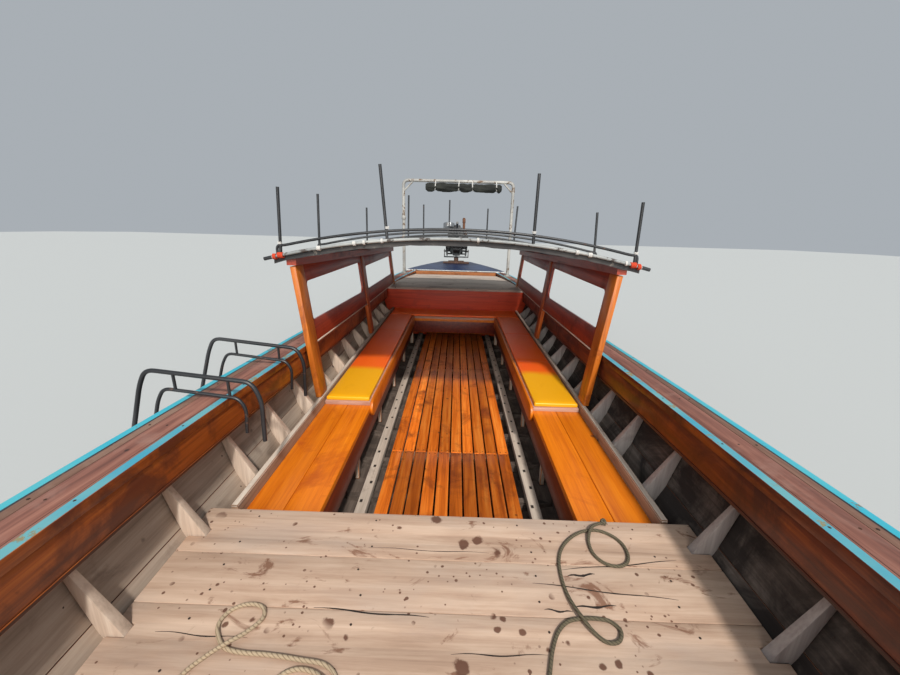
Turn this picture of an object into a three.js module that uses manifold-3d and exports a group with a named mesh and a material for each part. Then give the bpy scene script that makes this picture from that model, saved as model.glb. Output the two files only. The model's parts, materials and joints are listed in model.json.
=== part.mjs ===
// A wooden longtail boat afloat, with its cabin, benches, boarding ladder and open engine.
// Millimetres. X points to port, Y aft and Z up. The origin is on the centreline at the
// middle of the hull's length, on the waterline.
import * as THREE from "three";
import { mergeVertices } from "three/addons/utils/BufferGeometryUtils.js";
import Module from "manifold-3d";

// Driving dimensions of the hull
const seam = 0.5;
const plank = 32;
const keelHalfWidth = 42;
const keelDepth = 70;
const hullFront = -5850;
const hullBack = 5900;
const transomThickness = 45;
const capWidth = 178;
const capOverhang = 32;
const capThickness = 36;
const rubWidth = 42;
const waleHeight = 130;
const waleThickness = 24;

// Columns: y, sheer half width, sheer height, side half width, side height, bilge half width,
// bilge height, keel height
const hullTable = [
  [-6000, 62, 1290, 56, 1220, 48, 1170, 1120],
  [-5700, 130, 1195, 100, 950, 62, 690, 520],
  [-5300, 280, 1090, 205, 720, 110, 375, 80],
  [-4800, 470, 985, 365, 560, 205, 150, -110],
  [-4000, 740, 865, 610, 410, 365, -10, -250],
  [-3000, 1020, 770, 880, 290, 545, -120, -310],
  [-2000, 1125, 722, 1000, 225, 655, -165, -330],
  [-1000, 1145, 688, 1030, 200, 705, -180, -335],
  [1000, 1145, 612, 1035, 200, 715, -180, -335],
  [3300, 1140, 584, 1030, 195, 705, -175, -330],
  [4600, 930, 632, 850, 215, 600, -150, -290],
  [5300, 620, 668, 560, 265, 390, -110, -250],
  [5900, 300, 690, 262, 320, 170, -60, -200],
];
const bowStations = [-5850, -5700, -5500, -5300, -5050, -4800, -4400, -4000, -3500, -3000];
const midStations = [-2600, -2000, -1500, -1000, -400, 300, 1000, 1800, 2600, 3300];
const sternStations = [3700, 4150, 4400, 4600, 4800, 5000, 5200, 5380, 5560, 5730, 5900];
const loftStations = [...bowStations, ...midStations, ...sternStations];

// Ribs, decks and floor
const ribPitch = 370;
const ribFirst = -2450;
const ribCount = 15;
const ribThickness = 38;
const ribDepth = 58;
const ribTopDepth = 16;
const deckThickness = 30;
const bowDeckAft = -2620;
const bowDeckDrop = 60;
const foredeckAft = -1210;
const foredeckTop = 275;
const floorTop = -85;
const slatWidth = 74;
const slatGap = 10;
const slatCount = 10;
const slatThickness = 22;
const bearerHeight = 36;
const floorForeEnd = -1195;
const floorAftEnd = 2985;
const floorJoint = -210;
const aftDeckFront = 3000;
const aftDeckBack = 4638;
const aftDeckTop = 576;
const sternDeckFront = 4640;
const sternDeckThickness = 26;
const bulkheadThickness = 25;
const stringerInner = 470;
const stringerWidth = 60;

// Benches and pads
const benchInner = 577;
const benchTop = 210;
const benchThickness = 30;
const benchFrontDepth = 200;
const lipThickness = 20;
const lipBottom = 130;
const lipTop = 255;
const lipFore = -150;
const benchFore = -1195;
const aftBenchFront = 2555;
const padFront = -114;
const padThickness = 62;
const coamingInner = 910;
const coamingOuter = 940;
const coamingBottom = 190;

// Cabin sides, roof and poles
const lean = Math.atan2(90, 830);
const cabinFootX = 937;
const cabinFootZ = 275;
const postThickness = 38;
// Columns: name, y, width along the boat, foot height, top height
const postTable = [
  ["1", -80, 125, 275.5, 1185],
  ["2", 1540, 105, 275.5, 1128],
  ["3", 3290, 100, 576.5, 1066],
];
const panelThickness = 22;
// Columns: name, index of the post at the fore end, then at the panel's fore and aft end: its
// lower edge, its window's lower edge, and the width of the frame beside the window
const panelTable = [
  ["fore", 0, [642, 800, 22], [607, 765, 60]],
  ["aft", 1, [603, 758, 60], [588, 745, 22]],
];
const windowDrop = 62;
const windowCorner = 12;
const roofFront = -170;
const roofBack = 3500;
const roofSlope = 0.035;
const roofHalf = 1135;
const roofEdgeZ = 1246;
const roofCrownZ = 1382;
const roofSheetThickness = 9;
const hemDepth = 34;
const hemThickness = 12;
const frontPipeRadius = 11;
const plateWidth = 60;
const railRise = 55;
const railRadius = 8.5;
const poleRadius = 9.5;
const footLift = 2.3;
// Columns: y, half width of the hoop, then its poles as rows of x at the foot, x at the top
// and height over the rail
const hoopTable = [
  [-150, 1118, [[-1098, -1078, 342], [-428, -462, 372], [470, 470, 348], [1105, 1098, 312]]],
  [550, 1118, [[-1106, -1090, 385], [1106, 1085, 305]]],
  [1800, 1118, [[-1012, -1004, 370], [-545, -538, 432], [640, 655, 362]]],
  [2600, 1118, [[-443, -443, 402], [-105, -105, 446], [395, 395, 368]]],
];

// Stern arch and rolled awning
const archY = 4300;
const archHalf = 940;
const archTop = 2200;
const archPipe = 26;
const rollRadius = 72;
const rollStarboard = -560;
const rollPort = 740;

// Boarding ladder over the starboard gunwale
const stileAft = -530;
const stileFore = -1010;
const ladderPipe = 10;

// Engine on its swivel at the stern, its long shaft and the propeller
const pivotY = 5700;
const pivotZ = 955;
const shaftAngle = THREE.MathUtils.degToRad(18);
const bedTop = 750;
const socketRadius = 48;
const pinRadius = 32;
const yokeHalf = 255;
const yokePlate = 16;
const trunnionRadius = 18;
const shaftAxisZ = 150;
const shaftTubeRadius = 30;
const shaftEnd = 4160;
const shaftRadius = 18;
const propellerRadius = 165;

// Loose ropes on the foredeck, by hand from one knot to the other. Columns: x, y, and how far
// the rope is lifted where it passes over itself
const ropeRadius = 6;
const knotRadius = 14;
const ropeRoutes = {
  starboard: [
    [-470, -2045, 0], [-446, -1998, 0], [-412, -1958, 0], [-362, -1929, 0], [-311, -1902, 0],
    [-284, -1862, 0], [-287, -1816, 0], [-324, -1786, 0], [-403, -1774, 0], [-500, -1765, 0],
    [-575, -1762, 0], [-626, -1752, 0], [-662, -1724, 0], [-683, -1690, 0], [-678, -1655, 0],
    [-648, -1630, 0], [-606, -1624, 0], [-572, -1636, 0], [-560, -1666, 2], [-586, -1714, 8],
    [-626, -1752, 14], [-664, -1782, 8], [-698, -1820, 2], [-714, -1870, 0], [-701, -1918, 0],
    [-664, -1954, 0], [-610, -1966, 0], [-552, -1960, 0], [-500, -1944, 0], [-470, -1912, 0],
    [-466, -1868, 0], [-450, -1826, 0], [-412, -1800, 0], [-360, -1802, 2], [-318, -1825, 9],
    [-285, -1857, 14], [-262, -1900, 8], [-246, -1950, 2], [-238, -2000, 0], [-236, -2045, 0],
  ],
  port: [
    [648, -1226, 0], [616, -1242, 7], [586, -1266, 14], [564, -1298, 7], [551, -1340, 1],
    [555, -1390, 0], [584, -1425, 0], [628, -1434, 0], [666, -1416, 0], [685, -1374, 0],
    [680, -1325, 0], [648, -1286, 0], [604, -1268, 0], [545, -1277, 0], [481, -1317, 0],
    [437, -1366, 0], [413, -1421, 0], [404, -1485, 0], [405, -1540, 1], [412, -1588, 8],
    [426, -1632, 14], [449, -1672, 8], [484, -1698, 1], [522, -1692, 0], [538, -1662, 0],
    [518, -1636, 0], [474, -1628, 0], [428, -1630, 0], [384, -1640, 0], [347, -1670, 0],
    [318, -1718, 0], [297, -1772, 0], [278, -1830, 0], [264, -1885, 0], [254, -1940, 0],
    [250, -1995, 0], [250, -2045, 0],
  ],
};

// Colours
const finish = (color, roughness, metalness = 0) =>
  new THREE.MeshStandardMaterial({ color, roughness, metalness });
const greyWood = finish(0xa79c8c, 0.85);
const hullPaint = finish(0x3b2a22, 0.6);
const capWood = finish(0x6b4a45, 0.6);
const orangeWood = finish(0xb0561a, 0.35);
const redWood = finish(0x6e2014, 0.45);
const vinyl = finish(0xe98a10, 0.45);
const roofPaint = finish(0x9fc3c0, 0.5);
const blackPipe = finish(0x17181a, 0.4, 0.3);
const palePipe = finish(0xc9cdc9, 0.45, 0.1);
const archPaint = finish(0xdedbd0, 0.45, 0.1);
const canvas = finish(0x20282a, 0.9);
const engineBlack = finish(0x1b1b1d, 0.5, 0.5);
const steel = finish(0x8a8c8e, 0.35, 0.9);
const rust = finish(0x5a3a2a, 0.8, 0.4);
const bronze = finish(0xa8843c, 0.35, 0.9);
const navyPaint = finish(0x16203a, 0.5);
const ropeFibre = finish(0xb9a27c, 0.9);

// Solid helpers
const wasm = await Module();
wasm.setup();

function tidied(geometry) {
  const bare = geometry.clone();
  bare.deleteAttribute("normal");
  bare.deleteAttribute("uv");
  return mergeVertices(bare, 1e-3);
}

function solid(geometry) {
  const merged = tidied(geometry);
  const mesh = new wasm.Mesh({
    numProp: 3,
    vertProperties: new Float32Array(merged.attributes.position.array),
    triVerts: new Uint32Array(merged.index.array),
  });
  return new wasm.Manifold(mesh);
}

function fromSolid(body) {
  const mesh = body.getMesh();
  const geometry = new THREE.BufferGeometry();
  geometry.setAttribute("position", new THREE.BufferAttribute(mesh.vertProperties, 3));
  geometry.setIndex(new THREE.BufferAttribute(mesh.triVerts, 1));
  geometry.computeVertexNormals();
  return geometry;
}

function fuse(...geometries) {
  return fromSolid(geometries.map(solid).reduce((sum, next) => sum.add(next)));
}

function cut(geometry, ...tools) {
  return fromSolid(tools.map(solid).reduce((rest, tool) => rest.subtract(tool), solid(geometry)));
}

function facingOut(geometry) {
  const merged = tidied(geometry);
  const place = merged.attributes.position;
  const index = merged.index;
  const corners = [new THREE.Vector3(), new THREE.Vector3(), new THREE.Vector3()];
  let volume = 0;
  for (let i = 0; i < index.count; i += 3) {
    corners.forEach((corner, k) => corner.fromBufferAttribute(place, index.getX(i + k)));
    volume += corners[0].dot(corners[1].clone().cross(corners[2]));
  }
  if (volume < 0) {
    for (let i = 0; i < index.count; i += 3) {
      const first = index.getX(i);
      index.setX(i, index.getX(i + 1));
      index.setX(i + 1, first);
    }
  }
  merged.computeVertexNormals();
  return merged;
}

function box(x0, x1, y0, y1, z0, z1) {
  const geometry = new THREE.BoxGeometry(x1 - x0, y1 - y0, z1 - z0);
  geometry.translate((x0 + x1) / 2, (y0 + y1) / 2, (z0 + z1) / 2);
  return geometry;
}

// A body lofted along Y. Each station is a height y and an outline of [x, z] points.
function loft(stations) {
  const count = stations[0].outline.length;
  const positions = stations.flatMap(({ y, outline }) => outline.flatMap(([x, z]) => [x, y, z]));
  const faces = [];
  for (let row = 0; row < stations.length - 1; row += 1) {
    for (let i = 0; i < count; i += 1) {
      const a = row * count + i;
      const b = row * count + ((i + 1) % count);
      faces.push(a, b, a + count, b, b + count, a + count);
    }
  }
  const last = (stations.length - 1) * count;
  const capOf = (outline) =>
    THREE.ShapeUtils.triangulateShape(outline.map(([x, z]) => new THREE.Vector2(x, z)), []);
  const wound = THREE.ShapeUtils.area(stations[0].outline.map(([x, z]) => ({ x, y: z }))) > 0;
  for (const [a, b, c] of capOf(stations[0].outline)) {
    faces.push(...(wound ? [a, c, b] : [a, b, c]));
  }
  for (const [a, b, c] of capOf(stations.at(-1).outline)) {
    faces.push(...(wound ? [last + a, last + b, last + c] : [last + a, last + c, last + b]));
  }
  const geometry = new THREE.BufferGeometry();
  geometry.setAttribute("position", new THREE.Float32BufferAttribute(positions, 3));
  geometry.setIndex(faces);
  return facingOut(geometry);
}

// A flat outline of [y, z] points given a width across X
function slabAcross(points, x0, x1, holes = []) {
  const shape = new THREE.Shape(points.map(([y, z]) => new THREE.Vector2(y, z)));
  shape.holes = holes;
  const options = { depth: x1 - x0, bevelEnabled: false, curveSegments: 5 };
  const geometry = new THREE.ExtrudeGeometry(shape, options);
  const axes = new THREE.Matrix4().makeBasis(
    new THREE.Vector3(0, 1, 0), new THREE.Vector3(0, 0, 1), new THREE.Vector3(1, 0, 0));
  geometry.applyMatrix4(axes);
  geometry.translate(x0, 0, 0);
  return facingOut(geometry);
}

// A path through given points, sampled at each of them
class BentPath extends THREE.Curve {
  constructor(points) {
    super();
    this.points = points;
  }
  getPoint(t, target = new THREE.Vector3()) {
    const last = this.points.length - 1;
    const place = THREE.MathUtils.clamp(t, 0, 1) * last;
    const index = Math.min(Math.floor(place), last - 1);
    return target.copy(this.points[index]).lerp(this.points[index + 1], place - index);
  }
  getPointAt(u, target) {
    return this.getPoint(u, target);
  }
  getTangentAt(u, target = new THREE.Vector3()) {
    const half = 0.5 / (this.points.length - 1);
    return target.copy(this.getPoint(u + half)).sub(this.getPoint(u - half)).normalize();
  }
}

// Corner points with each inner corner rounded by a few points
function rounded(corners, radius, steps = 3) {
  const points = corners.map((corner) => new THREE.Vector3(...corner));
  const path = [points[0]];
  for (let i = 1; i < points.length - 1; i += 1) {
    const back = points[i - 1].clone().sub(points[i]);
    const ahead = points[i + 1].clone().sub(points[i]);
    const reach = Math.min(radius, back.length() * 0.45, ahead.length() * 0.45);
    const start = points[i].clone().addScaledVector(back.normalize(), reach);
    const end = points[i].clone().addScaledVector(ahead.normalize(), reach);
    const bend = new THREE.QuadraticBezierCurve3(start, points[i], end);
    path.push(...bend.getPoints(steps));
  }
  path.push(points.at(-1));
  return path;
}

function pipe(points, radius, sides = 8) {
  const section = new THREE.Shape();
  for (let i = 0; i < sides; i += 1) {
    const angle = ((i + 0.5) / sides) * 2 * Math.PI;
    const reach = radius / Math.cos(Math.PI / sides);
    section[i ? "lineTo" : "moveTo"](reach * Math.cos(angle), reach * Math.sin(angle));
  }
  const vectors = points.map((point) => (point.isVector3 ? point : new THREE.Vector3(...point)));
  const extrudePath = new BentPath(vectors);
  return facingOut(new THREE.ExtrudeGeometry(section, { steps: vectors.length - 1, extrudePath }));
}

// A round body on an axis: profile points are [radius, distance along the axis]
function turned(profile, segments, axis) {
  const points = profile.map(([radius, along]) => new THREE.Vector2(radius, along));
  const geometry = new THREE.LatheGeometry(points, segments);
  if (axis === "z") geometry.rotateX(Math.PI / 2);
  if (axis === "x") geometry.rotateZ(-Math.PI / 2);
  return facingOut(geometry);
}

function rod(radius, from, to, segments, axis) {
  return turned([[0, from], [radius, from], [radius, to], [0, to]], segments, axis);
}

function moved(geometry, x, y, z) {
  return geometry.translate(x, y, z);
}

// Hull shape: a smooth curve through the table, then straight between the loft stations
function tableAt(y) {
  const rows = hullTable;
  let i = rows.findIndex((row) => row[0] >= y);
  i = THREE.MathUtils.clamp(i, 1, rows.length - 1);
  const [before, start, end, after] = [rows[i - 2], rows[i - 1], rows[i], rows[i + 1]];
  const span = end[0] - start[0];
  const t = (y - start[0]) / span;
  const slope = (a, b, column) => (b[column] - a[column]) / (b[0] - a[0]);
  return start.map((_, column) => {
    const leaving = slope(before ?? start, before ? end : end, column) * span;
    const arriving = slope(start, after ?? end, column) * span;
    const t2 = t * t;
    const t3 = t2 * t;
    return (
      (2 * t3 - 3 * t2 + 1) * start[column] + (t3 - 2 * t2 + t) * leaving +
      (3 * t2 - 2 * t3) * end[column] + (t3 - t2) * arriving
    );
  });
}

// Points of the outer skin at a station, from the keel's middle out to the sheer
function skinPoints(y) {
  const [, sheerX, sheerZ, sideX, sideZ, bilgeX, bilgeZ, keelZ] = tableAt(y);
  const top = sheerZ - capThickness - seam;
  const points = [[0, keelZ], [keelHalfWidth, keelZ]];
  for (const s of [0, 0.25, 0.5, 0.75, 1]) {
    const low = 2 * (s - 0.5) * (s - 1);
    const middle = 4 * s * (1 - s);
    const high = 2 * s * (s - 0.5);
    const x = low * bilgeX + middle * sideX + high * sheerX;
    points.push([x, low * bilgeZ + middle * sideZ + high * top]);
  }
  return points;
}

const skinTable = loftStations.map(skinPoints);

function skinAt(y) {
  const next = loftStations.findIndex((at) => at >= y);
  const i = THREE.MathUtils.clamp(next, 1, loftStations.length - 1);
  const t = (y - loftStations[i - 1]) / (loftStations[i] - loftStations[i - 1]);
  return skinTable[i - 1].map(([x, z], k) => {
    const [nextX, nextZ] = skinTable[i][k];
    return [x + t * (nextX - x), z + t * (nextZ - z)];
  });
}

// The line a given distance inside an open line of [a, b] points
function inside(points, distance) {
  return points.map(([a, b], i) => {
    const [backA, backB] = points[Math.max(i - 1, 0)];
    const [nextA, nextB] = points[Math.min(i + 1, points.length - 1)];
    const before = new THREE.Vector2(a - backA, b - backB).normalize();
    const after = new THREE.Vector2(nextA - a, nextB - b).normalize();
    if (i === 0) before.copy(after);
    if (i === points.length - 1) after.copy(before);
    const middle = before.clone().add(after).normalize();
    const reach = distance / middle.dot(before);
    return [a - middle.y * reach, b + middle.x * reach];
  });
}

const innerSkinAt = (y) => inside(skinAt(y), plank);

// Half width of the room inside the planks at a height
function roomHalf(y, z) {
  const line = innerSkinAt(y);
  for (let i = 1; i < line.length; i += 1) {
    const [x0, z0] = line[i - 1];
    const [x1, z1] = line[i];
    const last = i === line.length - 1;
    if (z <= z1 || last) return x0 + ((z - z0) / (z1 - z0)) * (x1 - x0);
  }
  return line.at(-1)[0];
}

const sheerAt = (y) => skinAt(y).at(-1)[1] + capThickness + seam;
const capOuterAt = (y) => skinAt(y).at(-1)[0] + capOverhang;
const capInnerAt = (y) => Math.max(capOuterAt(y) - capWidth, seam / 2);
const mirrored = (outline) => outline.map(([x, z]) => [-x, z]).reverse();
const strictly = (y, from, to) => y > from + 1 && y < to - 1;
const between = (from, to) => [from, ...loftStations.filter((y) => strictly(y, from, to)), to];

const boat = new THREE.Group();
boat.name = "longtail_boat";

function add(parent, name, geometry, material) {
  const mesh = new THREE.Mesh(geometry, material);
  mesh.name = name;
  parent.add(mesh);
  return mesh;
}

const sides = [["port", 1], ["starboard", -1]];
const ribStations = Array.from({ length: ribCount }, (_, i) => ribFirst + i * ribPitch);

// Outline of one rib on the port side, a knee that passes behind the wale board
function ribOutline(y, slack) {
  const skin = skinAt(y);
  const raised = ([start, next, ...rest]) => {
    const lifted = start.map((a, i) => a + 0.12 * (next[i] - a));
    return [lifted, next, ...rest];
  };
  const back = raised(inside(skin, plank / 2).slice(2));
  const front = raised(inside(skin, plank + ribDepth + slack).slice(2));
  const top = sheerAt(y) - capThickness - 3;
  const waleFoot = top - waleHeight - 1;
  const waleBack = capInnerAt(y) + waleThickness + 7;
  const inner = Math.max(waleBack, roomHalf(y, waleFoot) - ribTopDepth) - slack;
  const foot = Math.min(coamingOuter + seam, roomHalf(y, coamingBottom - 8) - 20) - slack;
  const outer = back.slice(0, -1);
  outer.push([roomHalf(y, top) + plank / 2, top]);
  return [
    ...outer, [inner, top], [inner, waleFoot],
    [foot, foredeckTop - 5], [foot, coamingBottom - 8], front[0],
  ];
}

function deckTopAt(y) {
  return y < bowDeckAft ? sheerAt(y) - bowDeckDrop : aftDeckTop;
}

function rib(y, slack = 0) {
  const half = ribThickness / 2 + slack;
  const outline = ribOutline(y, slack);
  return loft([{ y: y - half, outline }, { y: y + half, outline }]);
}

// Hull bottom with its floor timbers and the light stringers that lie along them
function makeHullBottom() {
  const stations = loftStations.map((y) => {
    const outer = skinAt(y).slice(1, 3);
    const inner = inside(skinAt(y), plank).slice(1, 3);
    const [start, end] = outer;
    const along = new THREE.Vector2(start[0] - end[0], start[1] - end[1]).normalize();
    const gap = y > aftDeckFront ? seam * 6 : seam;
    const eased = ([x, z]) => [x + along.x * gap, z + along.y * gap];
    const half = [outer[0], eased(outer[1]), eased(inner[1]), inner[0]];
    return { y, outline: [...half, ...mirrored(half)] };
  });
  const timbers = ribStations.map((y) => {
    const [, [keelX, keelZ], [bilgeX, bilgeZ]] = inside(skinAt(y), plank / 2);
    const top = Math.max(floorTop - slatThickness - bearerHeight - seam, keelZ + 110);
    const reach = Math.min((top - keelZ) / (bilgeZ - keelZ), 0.9);
    const edge = [keelX + reach * (bilgeX - keelX), keelZ + reach * (bilgeZ - keelZ)];
    const half = [[keelX, keelZ], edge, [Math.max(edge[0] - 10, 6), Math.max(top, edge[1] + 1)]];
    const outline = [...half, ...mirrored(half)];
    return loft([{ y: y - ribThickness / 2, outline }, { y: y + ribThickness / 2, outline }]);
  });
  const timberTop = floorTop - slatThickness - bearerHeight - seam;
  const stringers = sides.map(([, sign]) => {
    const edges = [sign * stringerInner, sign * (stringerInner + stringerWidth)].sort((a, b) => a - b);
    return box(...edges, foredeckAft + 10, 2900, timberTop - 3, timberTop + 45);
  });
  add(boat, "hull_bottom", fuse(loft(stations), ...timbers, ...stringers), greyWood);
}

function makeHullSides() {
  for (const [side, sign] of sides) {
    const stations = loftStations.map((y) => {
      const outer = skinAt(y).slice(2);
      const inner = innerSkinAt(y).slice(2);
      const top = outer.at(-1)[1];
      inner[inner.length - 1] = [inner.at(-1)[0], top];
      return { y, outline: [...outer, ...inner.reverse()] };
    });
    const body = fuse(loft(stations), ...ribStations.map((y) => rib(y)));
    add(boat, `hull_side_${side}`, facingOut(body.scale(sign, 1, 1)), greyWood);
  }
}

// Keel and stem, outlines in the middle plane
function makeKeelAndStem() {
  const scarf = -4800;
  const keelTop = between(scarf + seam, hullBack).map((y) => [y, skinAt(y)[0][1] - seam]);
  const keelLow = keelTop.map(([y, z]) => [y, z - keelDepth]);
  const keelOutline = [...keelTop, ...keelLow.reverse()];
  add(boat, "keel", slabAcross(keelOutline, -keelHalfWidth, keelHalfWidth), hullPaint);
  const hullLine = between(hullFront, scarf).map((y) => [y, skinAt(y)[0][1]]);
  const back = inside([...hullLine].reverse(), seam * 2);
  back[0][0] = scarf;
  const faceTop = [hullFront - seam * 2, sheerAt(hullFront) + 2];
  const head = [[-5925, 1480], [-6020, 1720], [-6140, 1960], [-6270, 2170]];
  const nose = [[-6390, 2230], [-6420, 2170]];
  const front = [[-6300, 1960], [-6190, 1680], [-6090, 1380], [-5990, 1050], [-5870, 700], [-5720, 400]];
  const foot = [[-5560, 160], [-5330, -20], [-5070, -135], [scarf, skinAt(scarf)[0][1] - keelDepth]];
  const faceFoot = [hullFront - seam * 2, skinAt(hullFront)[0][1]];
  const outline = [...back, faceFoot, faceTop, ...head, ...nose, ...front, ...foot];
  add(boat, "stem_post", slabAcross(outline, -keelHalfWidth, keelHalfWidth), capWood);
}

function makeTransom() {
  const skin = skinAt(hullBack);
  const half = skin.slice(1);
  const y0 = hullBack + seam;
  const outline = [...half, ...mirrored(half)];
  const body = loft([{ y: y0, outline }, { y: y0 + transomThickness, outline }]);
  add(boat, "transom", body, greyWood);
}

// Gunwale caps, with the rubbing strake a step lower along their outer edge, and the wale
// boards inside
function makeGunwales() {
  for (const [side, sign] of sides) {
    const caps = [...loftStations, hullBack + transomThickness].map((y) => {
      const at = Math.min(y, hullBack);
      const top = sheerAt(at);
      const low = top - capThickness;
      const [inner, outer] = [capInnerAt(at), capOuterAt(at)];
      const edge = outer + rubWidth;
      return {
        y,
        outline: [
          [inner, low], [outer, low], [outer, low - 14], [edge - 8, low - 14], [edge, low - 4],
          [edge, top - 15], [edge - 8, top - 6], [outer, top - 6], [outer, top], [inner, top],
        ],
      };
    });
    add(boat, `gunwale_${side}`, facingOut(loft(caps).scale(sign, 1, 1)), capWood);
    const boards = between(bowDeckAft + 40, aftDeckFront - bulkheadThickness - 2).map((y) => {
      const inner = capInnerAt(y) + 4;
      const outer = inner + waleThickness;
      const top = sheerAt(y) - capThickness - seam;
      const low = top - waleHeight;
      return { y, outline: [[inner, low], [outer, low], [outer, top], [inner, top]] };
    });
    add(boat, `wale_board_${side}`, facingOut(loft(boards).scale(sign, 1, 1)), orangeWood);
  }
}

const sternDeckTop = (y) => sheerAt(Math.min(y, hullBack)) + sternDeckThickness;

// Deck over the stern, on top of both caps, with a riser up from the aft deck
function makeSternDeck() {
  const back = hullBack + transomThickness;
  const slab = loft(between(sternDeckFront, back).map((y) => {
    const half = capOuterAt(Math.min(y, hullBack)) - 4;
    const top = sternDeckTop(y);
    const low = top - sternDeckThickness + seam;
    return { y, outline: [[-half, low], [half, low], [half, top], [-half, top]] };
  }));
  const under = sternDeckTop(sternDeckFront) - 10;
  const riserBack = sternDeckFront + 20;
  const riserHalf = capInnerAt(riserBack) - seam;
  const riserLow = aftDeckTop - deckThickness;
  const riser = box(-riserHalf, riserHalf, sternDeckFront, riserBack, riserLow, under);
  const webHalf = capInnerAt(hullBack) - seam;
  const webTop = sheerAt(hullBack) + 10;
  const web = box(-webHalf, webHalf, hullBack - 60, back, webTop - 10 - capThickness, webTop);
  add(boat, "stern_deck", fuse(slab, riser, web), navyPaint);
}

function deckSlab(from, to, topAt, halfAt) {
  return loft(between(from, to).map((y) => {
    const top = topAt(y);
    const half = halfAt(y);
    const low = top - deckThickness;
    return { y, outline: [[-half, low], [half, low], [half, top], [-half, top]] };
  }));
}

function makeDecks() {
  const bowHalf = (y) => Math.max(roomHalf(y, deckTopAt(y) - deckThickness) - 5 * seam, 20);
  const bow = deckSlab(hullFront + 60, bowDeckAft, deckTopAt, bowHalf);
  const bowBeams = [-4660, -3900, -3160].map((y) => {
    const top = Math.min(deckTopAt(y - 25), deckTopAt(y + 25)) - deckThickness + 2;
    const half = capInnerAt(y - 25) - 12;
    return box(-half, half, y - 25, y + 25, top - 70, top);
  });
  const bowNotched = cut(bow, box(-80, 80, hullFront, hullFront + 330, 900, 1400));
  add(boat, "bow_deck", fuse(bowNotched, ...bowBeams), greyWood);
  const wall = (y, z0, z1, thickness) => {
    const levels = [z0, (z0 + z1) / 2, z1];
    const halfAt = (z) => roomHalf(y, z) - seam * 2;
    const half = levels.map((z) => [Math.min(halfAt(z), capInnerAt(y) + 200), z]);
    const outline = [...half, ...mirrored(half)];
    return loft([{ y, outline }, { y: y + thickness, outline }]);
  };
  const bowWall = cut(
    wall(bowDeckAft + seam, floorTop - 60, sheerAt(bowDeckAft) - capThickness - 2, bulkheadThickness),
    ...sides.map(([, sign]) => facingOut(rib(bowDeckAft + 30, 1).scale(sign, 1, 1))));
  add(boat, "bow_bulkhead", bowWall, redWood);

  const foredeck = deckSlab(bowDeckAft + bulkheadThickness + 2, foredeckAft, () => foredeckTop,
    (y) => roomHalf(y, foredeckTop - deckThickness) - seam * 2);
  const ribCutters = ribStations
    .filter((y) => y > bowDeckAft && y < foredeckAft + ribPitch)
    .flatMap((y) => sides.map(([, sign]) => facingOut(rib(y, 1).scale(sign, 1, 1))));
  const beamUnder = foredeckTop - deckThickness + 2;
  const foredeckBeams = [-2560, -1880, foredeckAft - 45].map((y) => {
    const low = beamUnder - (y > -1300 ? 120 : 80);
    const half = roomHalf(y, low) - 2;
    return box(-half, half, y, y + 45, low, beamUnder);
  });
  add(boat, "foredeck", cut(fuse(foredeck, ...foredeckBeams), ...ribCutters), greyWood);

  const backTop = aftDeckTop - deckThickness - seam;
  const backFace = aftDeckFront - bulkheadThickness;
  const back = wall(backFace, floorTop - 55, backTop, bulkheadThickness - seam);
  const backCutters = ribStations
    .filter((y) => Math.abs(y - aftDeckFront) < ribPitch)
    .flatMap((y) => sides.map(([, sign]) => facingOut(rib(y, 1).scale(sign, 1, 1))));
  add(boat, "aft_bulkhead", cut(back, ...backCutters), redWood);

  const aft = deckSlab(backFace, aftDeckBack, () => aftDeckTop, (y) => capInnerAt(y) - seam);
  const aftBeams = [3600, 4100, 4600].map((y) => {
    const half = capInnerAt(y + 30) - 8;
    const top = aftDeckTop - deckThickness + 2;
    return box(-half, half, y - 25, y + 25, top - 72, top);
  });
  add(boat, "aft_deck", fuse(aft, ...aftBeams), greyWood);
}

// Floor slats in a fore and an aft run, on cross bearers that they share at the joint
function makeFloor() {
  const pitch = slatWidth + slatGap;
  const half = (slatCount * pitch - slatGap) / 2;
  const low = floorTop - slatThickness;
  const runs = [[floorForeEnd, floorJoint - 4], [floorJoint + 4, floorAftEnd - 20]];
  const slats = runs.flatMap(([from, to]) => Array.from({ length: slatCount }, (_, i) => {
    const x = -half + i * pitch;
    return box(x, x + slatWidth, from, to, low, floorTop);
  }));
  const bearers = [floorForeEnd + 90, floorJoint, 1420, floorAftEnd - 110].map((y) =>
    box(-half, half, y - 35, y + 35, low - bearerHeight, low + 2));
  add(boat, "floor_boards", fuse(...slats, ...bearers), orangeWood);
}

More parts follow.
